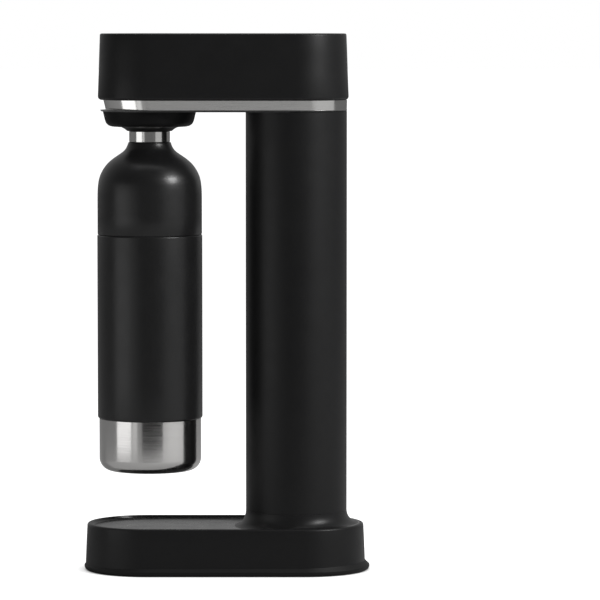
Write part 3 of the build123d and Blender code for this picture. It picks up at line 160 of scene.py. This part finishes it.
def stadium(radius, half, centre, z):
    """Rows of a stadium outline: half circles of the radius about (centre +- half, 0), joined by straights.

    radius, half, centre and z may be arrays, one value for each row. Gives rows x points x 3.
    """
    sizes = (np.atleast_1d(value).astype(float) for value in (radius, half, centre, z))
    radius, half, centre, z = np.broadcast_arrays(*sizes)
    right = np.radians(np.linspace(-90, 90, 97))
    straight = np.linspace(1, -1, 26)[1:-1]
    cos = np.concatenate([np.cos(right), 0 * straight, -np.cos(right), 0 * straight])
    sin = np.concatenate([np.sin(right), 0 * straight + 1, -np.sin(right), 0 * straight - 1])
    along = np.concatenate([0 * right + 1, straight, 0 * right - 1, -straight])
    x = centre[:, None] + half[:, None] * along + radius[:, None] * cos
    y = radius[:, None] * sin
    return np.stack([x, y, np.broadcast_to(z[:, None], x.shape)], 2)


def arc(centre, radius, start, end, steps=7):
    """Points (distance, height) on a quarter or part circle from a start to an end angle in degrees."""
    angle = np.radians(np.linspace(start, end, steps))
    return np.stack([centre[0] + radius * np.cos(angle), centre[1] + radius * np.sin(angle)], 1)


def skin(name, rows, sharp=28, second_rows=None):
    """Mesh object from rows of rings, closed round each ring and from the last ring back to the first.

    Quad (i, j) joins points j and j + 1 of ring i to those of ring i + 1. Points at one place, as round
    a pole, are merged. second_rows (first, last) are the rows of faces that take the second material.
    """
    count, around = rows.shape[:2]
    points = rows.reshape(-1, 3) * mm
    index = np.arange(count * around).reshape(count, around)
    after = np.roll(index, -1, 1)
    quads = np.stack([index, after, np.roll(after, -1, 0), np.roll(index, -1, 0)], 2).reshape(-1, 4)
    mesh = bpy.data.meshes.new(name)
    mesh.from_pydata(points.tolist(), [], quads.tolist())
    if second_rows is not None:
        row = np.arange(len(quads)) // around
        second = (row >= second_rows[0]) & (row <= second_rows[1])
        mesh.polygons.foreach_set("material_index", second.astype(np.int32))
    merged = bmesh.new()
    merged.from_mesh(mesh)
    bmesh.ops.remove_doubles(merged, verts=merged.verts, dist=1e-7)
    wires = [edge for edge in merged.edges if not edge.link_faces]
    bmesh.ops.delete(merged, geom=wires, context="EDGES")
    bmesh.ops.recalc_face_normals(merged, faces=merged.faces)
    merged.to_mesh(mesh)
    merged.free()
    mesh.shade_smooth()
    mesh.set_sharp_from_angle(angle=math.radians(sharp))
    piece = bpy.data.objects.new(name, mesh)
    scene.collection.objects.link(piece)
    return piece


def finish_of(name, colour, roughness, metallic=0.0):
    """New material with its shader and its Object coordinates."""
    material = bpy.data.materials.new(name)
    material.use_nodes = True
    tree = material.node_tree
    shader = tree.nodes["Principled BSDF"]
    shader.inputs["Base Color"].default_value = (*colour, 1)
    shader.inputs["Roughness"].default_value = roughness
    shader.inputs["Metallic"].default_value = metallic
    return material, tree, shader, tree.nodes.new("ShaderNodeTexCoord").outputs["Object"]


def noise(tree, vector, scale, detail=2.0, stretch=(1, 1, 1)):
    """Noise on the piece's own coordinates, stretched along each axis."""
    mapping = tree.nodes.new("ShaderNodeMapping")
    mapping.inputs["Scale"].default_value = stretch
    tree.links.new(vector, mapping.inputs["Vector"])
    texture = tree.nodes.new("ShaderNodeTexNoise")
    texture.inputs["Scale"].default_value = scale
    texture.inputs["Detail"].default_value = detail
    tree.links.new(mapping.outputs[0], texture.inputs["Vector"])
    return texture.outputs["Fac"]


def remap(tree, value, low, high):
    """The middle of a noise pattern rescaled to run from low to high."""
    node = tree.nodes.new("ShaderNodeMapRange")
    for socket, number in (("From Min", 0.3), ("From Max", 0.7), ("To Min", low), ("To Max", high)):
        node.inputs[socket].default_value = number
    tree.links.new(value, node.inputs["Value"])
    return node.outputs["Result"]


def bump(tree, shader, value, depth, strength=0.6):
    """Relief of the given depth in metres on the shader's normal."""
    node = tree.nodes.new("ShaderNodeBump")
    node.inputs["Strength"].default_value = strength
    node.inputs["Distance"].default_value = depth
    tree.links.new(value, node.inputs["Height"])
    tree.links.new(node.outputs[0], shader.inputs["Normal"])


def moulded(name, colour, roughness, grain=2600, depth=0.00003, shine=0.5):
    """Textured moulding: grain in the relief, a slow drift in the gloss and faint mottling in the colour."""
    material, tree, shader, vector = finish_of(name, colour, roughness)
    shader.inputs["Specular IOR Level"].default_value = shine
    bump(tree, shader, noise(tree, vector, grain), depth)
    drift = noise(tree, vector, 60)
    tree.links.new(remap(tree, drift, roughness - 0.03, roughness + 0.03), shader.inputs["Roughness"])
    mottle = tree.nodes.new("ShaderNodeMix")
    mottle.data_type = "RGBA"
    mottle.inputs["A"].default_value = (*(0.88 * np.array(colour)), 1)
    mottle.inputs["B"].default_value = (*(1.12 * np.array(colour)), 1)
    tree.links.new(noise(tree, vector, 700), mottle.inputs["Factor"])
    tree.links.new(mottle.outputs["Result"], shader.inputs["Base Color"])
    return material


def dress(piece, material, slot, body, *nodes):
    """A new piece's finish, its body and the CAD nodes that it stands for, which are hidden; slot is not
    used.
    """
    piece.data.materials.append(material)
    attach(piece, body)
    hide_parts(*nodes)


def coat(material, *nodes):
    """A material for CAD nodes that keep their own mesh."""
    for node in nodes:
        for material_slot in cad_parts[node].material_slots:
            material_slot.material = material


bottle_x, column_x = -60.0, 54.4
column_radius = 39.5
base_radius, base_half, base_centre = 48.6, 61.15, -1.25
ledge_z, rim_z, tray_z, flare_z, spigot_z, ceiling_z = 3.0, 36.8, 34.1, 47.0, 55.0, 31.5
base_draft = math.tan(math.radians(2.4))
rim_radius, base_wall, flare_reach = 1.8, 3.0, 10.0
tray_edge, tray_radius = 0.25, 2.4

# Wall rows, from the ledge up: the inset grows with the draft, then follows the rim's radius.
rim_inset = base_draft * (rim_z - ledge_z)
rim_arc = arc((rim_inset + rim_radius, rim_z - rim_radius), rim_radius, 180 - 2.4, 90, 8)
wall_rows = np.concatenate([[(0, ledge_z), (base_draft * 10, 13.0), (base_draft * 22, 25.0)], rim_arc])
outer = stadium(base_radius - wall_rows[:, 0], base_half, base_centre, wall_rows[:, 1])
tray_inset = rim_inset + base_wall
tray_lip = stadium(base_radius - tray_inset + tray_edge, base_half, base_centre, rim_z)[0]
tray_foot = stadium(base_radius - tray_inset, base_half, base_centre, rim_z)[0]

# Top rows run along rays from the column's axis to the dished top's edge. Each is the floor plus a
# quarter ellipse: rise x (1 - sqrt(1 - (1 - gap / reach)^2)), gap being the distance off the column.
axis = np.array([column_x, 0.0])
ray_line = tray_foot[:, :2] - axis
ray_length = np.linalg.norm(ray_line, axis=1)
ray_way = ray_line / ray_length[:, None]
ahead = np.clip((column_x + 1.0 - tray_foot[:, 0]) / 14.0, 0, 1)
ahead = ahead * ahead * (3 - 2 * ahead)
floor_z = rim_z - (rim_z - tray_z) * ahead
reach = np.minimum(flare_reach, ray_length - column_radius - 0.2 - tray_radius * ahead)
share = np.concatenate([1 - np.cos(np.linspace(0, np.pi / 2, 15)), [1.0]])[::-1][1:]
gap = share[:, None] * reach
height = floor_z + (flare_z - floor_z) * (1 - np.sqrt(np.clip(1 - (1 - share[:, None]) ** 2, 0, 1)))
flare = np.concatenate([axis + ray_way * (column_radius + gap)[..., None], height[..., None]], 2)

# The dish's wall is a hollow quarter round: inwards by radius x (1 - cos a), down to the floor by sin a.
bend = np.radians(np.linspace(22.5, 90, 5))[:, None]
wall_in = axis + ray_way * (ray_length - tray_radius * ahead * (1 - np.cos(bend)))[..., None]
wall_z = floor_z + (rim_z - tray_edge * ahead - floor_z) * (1 - np.sin(bend))
dish_wall = np.concatenate([wall_in, wall_z[..., None]], 2)
spigot = np.stack([
    np.concatenate([axis + ray_way * r, np.full((len(ray_way), 1), z)], 1)
    for r, z in ((37.2, flare_z), (37.2, spigot_z), (34.6, spigot_z), (34.6, ceiling_z))
])
inner = stadium(base_radius - base_wall - np.array([1.4, 0.0]), base_half, base_centre, (ceiling_z, ledge_z))
tray_lip_row = np.concatenate([tray_lip[:, :2], np.full((len(tray_lip), 1), rim_z)], 1)
lip_turn = np.concatenate([tray_foot[:, :2], (rim_z - tray_edge * ahead)[:, None]], 1)
base_rows = np.concatenate([
    outer, tray_lip_row[None], lip_turn[None], dish_wall, flare, spigot, inner,
])
base_cover = skin("base_cover_moulding", base_rows, 40, (len(outer) + 1, len(outer) + 7))
housing_black = moulded("housing_black", (0.0092, 0.0092, 0.0095), 0.39, shine=0.25)
tray_black = moulded("dished_top_black", (0.008, 0.008, 0.0083), 0.28, 2600, 0.00001, 0.75)
dress(base_cover, housing_black, "black_housing", "machine", "base_cover")
base_cover.data.materials.append(tray_black)

# ---------------------------------------------------------------- foot lip
# The soft lip that the machine stands on: its outer side slopes down from the wall to a thin edge and
# rounds under. Moulded thermoplastic rubber, pushed into the cover's lower edge.
foot_radius, foot_half = 50.5, 61.4
foot_edge_z, foot_top_z, foot_slope = 3.7, 7.2, math.tan(math.radians(42))
foot_under, foot_section = 3.0, 8.2
under_arc = arc((foot_under, foot_under), foot_under, 270, 180, 9)
foot_break, foot_sag = 0.25, 0.12
foot_edge = [(0.0, foot_edge_z), (foot_break, foot_edge_z + 0.35)]
foot_rows = np.concatenate([[(foot_section, 0.0)], under_arc, foot_edge])
foot_outer = stadium(foot_radius - foot_rows[:, 0], foot_half, 0.0, foot_rows[:, 1])
wall_low = stadium(base_radius, base_half, base_centre, ledge_z)[0]
lip_gap = np.linalg.norm(foot_outer[-1][:, :2] - wall_low[:, :2], axis=1)
meet_z = np.minimum(foot_outer[-1][0, 2] + lip_gap / foot_slope, foot_top_z)
meet = np.concatenate([wall_low[:, :2], meet_z[:, None]], 1)
half_way = (meet + foot_outer[-1]) / 2 - np.array([0, 0, foot_sag])
foot_in = stadium(foot_radius - foot_section, foot_half, 0.0, ledge_z)
foot_skin = np.concatenate([foot_outer, half_way[None], meet[None], wall_low[None], foot_in])
foot_lip = skin("foot_lip", foot_skin, 35)
foot_rubber = moulded("foot_rubber_black", (0.006, 0.006, 0.006), 0.55, 1500, 0.00005, 0.25)
dress(foot_lip, foot_rubber, "foot_rubber", "machine", "foot_ring")

# ---------------------------------------------------------------- bottom plate, screws and ballast
# Under the cover: a ribbed grey plate held by six zinc screws, with a cast iron weight in front that
# keeps the machine steady. The weight has a thick, slightly rough paint.


def turned_metal(name, colour, roughness, stretch, depth=0.000006, scale=900, bite=0.5):
    """Metal with fine lines, in relief and gloss, that run along the axes whose stretch is small."""
    material, tree, shader, vector = finish_of(name, colour, roughness, 1.0)
    lines = noise(tree, vector, scale, 3.0, stretch)
    bump(tree, shader, lines, depth, bite)
    tree.links.new(remap(tree, lines, roughness - 0.04, roughness + 0.05), shader.inputs["Roughness"])
    return material


inner_black = moulded("inner_moulding", (0.09, 0.09, 0.095), 0.5)
zinc_plate = turned_metal("zinc_plate", (0.60, 0.60, 0.62), 0.35, (1, 1, 1))
coat(inner_black, "base_plate")
coat(zinc_plate, "base_screws")
coat(moulded("cast_weight_paint", (0.10, 0.10, 0.10), 0.6, 900, 0.0002), "ballast_plate")

# ---------------------------------------------------------------- column
# The upright tube that hides the gas cylinder, standing on the base's flare and ending under the head.
# Extruded and painted with the same satin black as the mouldings.


def turned(profile, centre):
    """Rings about an upright axis: x = centre + r cos a, y = r sin a, for each (r, z) of the profile."""
    profile = np.asarray(profile, float)
    angle = np.linspace(0, 2 * np.pi, 193)[:-1]
    x = centre + profile[:, :1] * np.cos(angle)
    y = profile[:, :1] * np.sin(angle)
    return np.stack([x, y, np.broadcast_to(profile[:, 1:], x.shape)], 2)


column_bottom_z, column_top_z, column_bore = 47.0, 359.0, 37.3
column_break = 0.15
column_profile = [
    (column_bore, column_bottom_z),
    (column_radius - column_break, column_bottom_z), (column_radius, column_bottom_z + column_break),
    (column_radius, 120.0), (column_radius, 200.0), (column_radius, 280.0), (column_radius, column_top_z),
    (column_bore, column_top_z), (column_bore, 200.0),
]
column = skin("column_tube_wall", turned(column_profile, column_x))
dress(column, housing_black, "black_housing", "machine", "column_tube")

# ---------------------------------------------------------------- cylinder guide and tie rods
# Inside the column a grey moulded guide centres the gas cylinder, and four zinc-plated rods with nuts
# pull the base and the head together.
coat(inner_black, "cylinder_guide")
coat(zinc_plate, "tie_rods", "tie_rod_nuts")

# ---------------------------------------------------------------- chassis and lip plate
# The head is built on a die-cast chassis; under it a flat black moulded plate closes the head, with a
# bevelled edge that shows as a thin step below the bright band.
cast_metal = moulded("die_casting", (0.55, 0.56, 0.57), 0.45, 1500)
cast_metal.node_tree.nodes["Principled BSDF"].inputs["Metallic"].default_value = 0.9
coat(cast_metal, "head_chassis")
plate_black = moulded("lip_plate_black", (0.03, 0.03, 0.03), 0.25, shine=0.9)
coat(plate_black, "head_bottom_plate")

# ---------------------------------------------------------------- trim band
# A bright strip of stainless steel rolled to the head's outline and closed at the back; it widens a
# little towards the top. Lightly polished, with fine lines along its length.
band_low_z, band_top_z = 360.2, 367.9
band_wall = 1.6
band_levels = np.array([0.0, 0.5, 1.0])
band_radius = 38.2 + 0.8 * band_levels
band_half = 55.75 + 0.20 * band_levels
band_centre = -0.15 - 0.80 * band_levels
band_z = band_low_z + (band_top_z - band_low_z) * band_levels
band_outer = stadium(band_radius, band_half, band_centre, band_z)
band_inner = stadium(band_radius[::-2] - band_wall, band_half[::-2], band_centre[::-2], band_z[::-2])
trim_band = skin("trim_band_strip", np.concatenate([band_outer, band_inner]))
bright_steel = turned_metal("polished_band", (0.88, 0.875, 0.86), 0.13, (0.02, 0.02, 1), 0.000003, 3000)
dress(trim_band, bright_steel, "polished_steel", "machine", "trim_band")

# ---------------------------------------------------------------- head housing
# The long rounded cap on top: walls that lean in slightly, a rounded lower edge over the band and a
# flat top with the round opening for the button. Black ABS like the base, held by screws from below.
head_radius, head_half, head_centre = 40.7, 57.025, -2.475
head_low_z, head_top_z, head_inner_z = 367.9, 419.5, 416.5
head_draft = math.tan(math.radians(1.9))
head_low_radius, head_top_radius, head_wall = 2.8, 1.4, 2.6
opening_radius, opening_edge = 22.0, 0.4
top_inset = head_draft * (head_top_z - head_low_z)
head_profile = np.concatenate([
    [(band_wall + 2.2, head_low_z)],
    arc((head_low_radius, head_low_z + head_low_radius), head_low_radius, 270, 180 + 1.9, 9),
    [(head_draft * 20, head_low_z + 20), (head_draft * 36, head_low_z + 36)],
    arc((top_inset + head_top_radius, head_top_z - head_top_radius), head_top_radius, 178.1, 90, 8),
])
head_outer = stadium(head_radius - head_profile[:, 0], head_half, head_centre, head_profile[:, 1])
head_rim = head_outer[-1]
button_axis = np.array([bottle_x, 0.0])
head_line = head_rim[:, :2] - button_axis
head_length = np.linalg.norm(head_line, axis=1)
head_way = head_line / head_length[:, None]


def lids(radii, heights, outward=0.0):
    """Rings about the button's axis: each radius moved a share (outward) of its way to the head's rim."""
    radii, heights, outward = np.broadcast_arrays(np.asarray(radii, float), heights, outward)
    r = radii[:, None] + outward[:, None] * (head_length - radii[:, None])
    z = np.broadcast_to(heights[:, None], r.shape)
    return np.concatenate([button_axis + head_way * r[..., None], z[..., None]], 2)


top_rows = lids([opening_radius + opening_edge] * 3, [head_top_z] * 3, [0.66, 0.33, 0.0])
opening_arc = arc((opening_radius + opening_edge, head_top_z - opening_edge), opening_edge, 90, 180, 5)
opening_rows = lids(opening_arc[1:, 0], opening_arc[1:, 1])
under_rows = lids([opening_radius, opening_radius + 1.0], [head_inner_z, head_inner_z])
head_inner_radius = head_radius - head_wall - np.array([1.6, 0.3])
head_inner = stadium(head_inner_radius, head_half, head_centre, (head_inner_z, head_low_z))
head = skin("head_cap", np.concatenate([head_outer, top_rows, opening_rows, under_rows, head_inner]), 40)
dress(head, housing_black, "black_housing", "machine", "head_housing")
coat(zinc_plate, "housing_screws")

# ---------------------------------------------------------------- collar and bottle holder
# A black bowl under the head guides the bottle's neck into the bayonet ring behind it. Both are moulded,
# the bowl with a soft waist and a short ogee round its mouth, fixed by screws from inside the head.
collar_points = np.array([
    (36.3, 359.0), (35.95, 357.2), (35.4, 354.9), (34.75, 352.2), (33.6, 349.6), (32.5, 348.5),
    (31.2, 347.7), (30.0, 347.35), (26.0, 346.95), (21.9, 346.5), (20.6, 345.9), (18.3, 344.4), (17.5, 343.7),
])


def through(points, steps=8):
    """Smooth curve through points: a cubic on each span, with the points' central differences as slopes."""
    span = np.linalg.norm(np.diff(points, axis=0), axis=1)
    place = np.concatenate([[0], np.cumsum(span)])
    slope = np.gradient(points, place, axis=0)
    t = np.linspace(0, 1, steps, endpoint=False)[None, :, None]
    first, last = points[:-1, None], points[1:, None]
    leaving, arriving = slope[:-1, None] * span[:, None, None], slope[1:, None] * span[:, None, None]
    curve = first * (2 * t**3 - 3 * t**2 + 1) + leaving * (t**3 - 2 * t**2 + t)
    curve = curve + last * (3 * t**2 - 2 * t**3) + arriving * (t**3 - t**2)
    return np.concatenate([curve.reshape(-1, 2), points[-1:]])


mouth_profile = [(16.6, 343.7), (16.6, 348.9), (26.1, 348.9), (26.1, 359.0)]
collar = skin("collar_bowl", turned(np.concatenate([through(collar_points), mouth_profile]), bottle_x), 50)
collar_black = moulded("collar_black", (0.0068, 0.0068, 0.0070), 0.45, shine=0.09)
dress(collar, collar_black, "black_collar", "machine", "collar")
coat(inner_black, "bottle_holder")
coat(zinc_plate, "collar_screws")

# ---------------------------------------------------------------- nozzle, seal and relief valve
# The die-cast block above the bottle carries the steel carbonation tube with its moulded tip, the rubber
# seal for the bottle's mouth, a brass relief valve and a brass burst disc plug.
seal_rubber = moulded("seal_rubber_black", (0.03, 0.03, 0.03), 0.7, 1500)
brass = turned_metal("turned_brass", (0.72, 0.52, 0.20), 0.22, (0.03, 0.03, 1))
tube_steel = turned_metal("tube_steel", (0.66, 0.66, 0.66), 0.2, (1, 1, 0.03))
coat(cast_metal, "nozzle_block")
coat(zinc_plate, "nozzle_screws")
coat(seal_rubber, "bottle_seal")
coat(tube_steel, "carbonation_tube")
coat(inner_black, "nozzle_tip", "relief_poppet")
coat(brass, "relief_body", "relief_cap", "burst_disc_plug")

# ---------------------------------------------------------------- cylinder socket, pipe and lever
# A die-cast block at the column's top takes the gas cylinder; a drawn copper pipe with brass nuts leads
# to the nozzle. The die-cast lever turns on a steel pin and pushes the steel rod that opens the cylinder.
copper = turned_metal("drawn_copper", (0.75, 0.40, 0.27), 0.25, (0.03, 1, 1))
spring_wire = turned_metal("spring_wire", (0.50, 0.50, 0.50), 0.3, (1, 1, 1))
coat(cast_metal, "valve_block", "lever_bracket", "press_lever")
coat(zinc_plate, "valve_block_screws")
coat(copper, "gas_pipe")
coat(brass, "pipe_nuts")
coat(tube_steel, "valve_pusher", "lever_pin")
coat(spring_wire, "pin_clips")

# ---------------------------------------------------------------- springs
# Three compression springs of round steel wire, under the button, round the pusher and over the relief
# poppet. Each is coiled with open ends and stands on a fixed face.


def coil(name, node, turns, wire):
    """Coiled wire standing in a CAD spring's box, over the box's whole length.

    Point (t, a): radius R + w cos a, turned by 2 pi turns t, at height low + (high - low) t + w sin a,
    where w is the wire's radius, and falls to nothing at both ends.
    """
    low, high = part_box(node)
    low, high = np.array(low) / mm, np.array(high) / mm
    middle, radius = (low + high) / 2, (high[0] - low[0]) / 2 - wire
    t = np.linspace(0, 1, int(56 * turns))[:, None]
    thick = np.full_like(t, wire)
    thick[[0, -1]] = 0.0
    around_wire = np.linspace(0, 2 * np.pi, 13)[None, :-1]
    out, up = radius + thick * np.cos(around_wire), thick * np.sin(around_wire)
    turn = 2 * np.pi * turns * t
    height = low[2] + wire + (high[2] - low[2] - 2 * wire) * t + up
    rows = np.stack([middle[0] + out * np.cos(turn), middle[1] + out * np.sin(turn), height], 2)
    spring = skin(name, rows, 60)
    dress(spring, spring_wire, "spring_steel", "machine", node)
    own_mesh(spring)


coil("button_return_spring", "button_spring", 2.5, 0.6)
coil("pusher_return_spring", "pusher_spring", 3, 0.4)
coil("relief_valve_spring", "relief_spring", 3, 0.3)

# ---------------------------------------------------------------- button
# The round push button flush with the head's top, over the bottle, with a shallow dish for the thumb.
# A satin black moulding with a small rounded edge and a skirt that slides in its guide.
button_edge, dish_depth, button_top_z, button_radius, button_wall = 0.8, 0.8, 419.2, 21.7, 2.2
skirt_low_z, roof_z, stem_low_z, stem_radius = 412.8, 416.2, 400.4, 5.0
dish_edge = 20.0
skirt_bore = button_radius - button_wall
dish_r = np.linspace(dish_edge, 0.0, 20)
dish_z = button_top_z - dish_depth * (1 - (dish_r / dish_edge) ** 2)
button_profile = np.concatenate([
    [(0.0, stem_low_z), (stem_radius, stem_low_z), (stem_radius, roof_z)],
    [(skirt_bore, roof_z), (skirt_bore, skirt_low_z), (button_radius, skirt_low_z)],
    arc((button_radius - button_edge, button_top_z - button_edge), button_edge, 0, 90, 7),
    np.stack([dish_r, dish_z], 1),
])
button = skin("press_button_cap", turned(button_profile, bottle_x), 40)
button_satin = moulded("button_satin", (0.0092, 0.0092, 0.0095), 0.34, shine=0.4)
dress(button, button_satin, "button_black", "button", "press_button")
coat(inner_black, "button_guide")
coat(zinc_plate, "guide_screws")

# ---------------------------------------------------------------- bottle
# A smoky PET liner in a black coated steel jacket: a bright brushed ring at the neck, the shoulder shell
# pressed over the top of the straight sleeve, and a brushed stainless cup pushed on from below.
neck_ring_profile = [
    (13.95, 335.2), (15.7, 335.2), (15.9, 335.4), (15.9, 339.0), (15.9, 343.2), (15.7, 343.4), (13.95, 343.4),
]
neck_ring = skin("neck_ring_band", turned(neck_ring_profile, bottle_x))
dress(neck_ring, bright_steel, "brushed_steel", "neck", "neck_ring")

shoulder_points = np.array([
    (16.5, 335.0), (17.6, 331.9), (18.9, 329.6), (20.8, 327.6), (24.3, 325.1), (29.0, 321.8), (32.5, 318.7),
    (35.1, 315.6), (37.2, 312.2), (38.9, 308.4), (39.9, 304.5), (40.4, 300.6), (40.65, 296.5), (40.75, 291.0),
])
shoulder_line = through(shoulder_points)
shoulder_wall = 2.0
slope_line = np.gradient(shoulder_line, axis=0)
slope_line = slope_line / np.linalg.norm(slope_line, axis=1)[:, None]
inner_line = shoulder_line + shoulder_wall * np.stack([slope_line[:, 1], -slope_line[:, 0]], 1)
inner_line = inner_line[6::4][::-1]
shoulder_profile = np.concatenate([
    [(14.6, 335.0), (16.0, 335.0)], shoulder_line[1:], [(40.75, 280.0), (40.75, 263.7), (40.1, 263.0)],
    [(38.75, 262.95), (38.75, 285.0)], inner_line, [(14.6, 329.0)],
])
shoulder = skin("shoulder_cap", turned(shoulder_profile, bottle_x), 45)
bottle_coat = moulded("bottle_black_coat", (0.0100, 0.0100, 0.0103), 0.33, shine=0.42)
dress(shoulder, bottle_coat, "bottle_black", "bottle", "shoulder_shell")

sleeve_profile = np.concatenate([
    [(38.8, 119.1)], arc((39.2, 120.9), 1.8, 270, 360, 7), [(41.0, 150.0), (41.0, 190.0), (41.0, 230.0)],
    arc((40.0, 261.9), 1.0, 0, 90, 8), [(38.8, 262.9), (38.8, 190.0)],
])
sleeve = skin("bottle_sleeve_tube", turned(sleeve_profile, bottle_x), 40)
dress(sleeve, bottle_coat, "bottle_black", "bottle", "bottle_sleeve")

cup_radius, cup_low_z, cup_top_z, cup_corner, cup_wall = 39.8, 78.1, 119.1, 10.0, 0.8
cup_profile = np.concatenate([
    [(0.0, cup_low_z), (15.0, cup_low_z)],
    arc((cup_radius - cup_corner, cup_low_z + cup_corner), cup_corner, 270, 360, 19),
    [(cup_radius, 104.0), (cup_radius, cup_top_z), (cup_radius - cup_wall, cup_top_z)],
    arc((cup_radius - cup_corner, cup_low_z + cup_corner), cup_corner - cup_wall, 360, 270, 13),
    [(0.0, cup_low_z + cup_wall)],
])
cup = skin("base_cup_shell", turned(cup_profile, bottle_x), 45)
brushed_steel = turned_metal("brushed_cup", (0.67, 0.66, 0.65), 0.15, (0.02, 0.02, 1), 0.000004, 2200)
dress(cup, brushed_steel, "brushed_steel", "bottle", "base_cup")

smoky_plastic = moulded("smoky_pet", (0.03, 0.03, 0.033), 0.12, 300, 0.00001)
coat(smoky_plastic, "bottle_liner")
coat(seal_rubber, "cup_pad")

# ---------------------------------------------------------------- gas cylinder
# The steel cylinder inside the column, painted satin grey, with a plain film label, a turned brass valve
# with its steel pin, and a rubber washer where the valve meets the socket.
cylinder_satin = moulded("cylinder_satin", (0.70, 0.70, 0.70), 0.4, 1200)
coat(cylinder_satin, "gas_cylinder")
coat(moulded("plain_label", (0.60, 0.60, 0.61), 0.3, 800, 0.00001), "cylinder_label")
coat(brass, "cylinder_valve")
coat(tube_steel, "valve_pin")
coat(seal_rubber, "cylinder_seal")
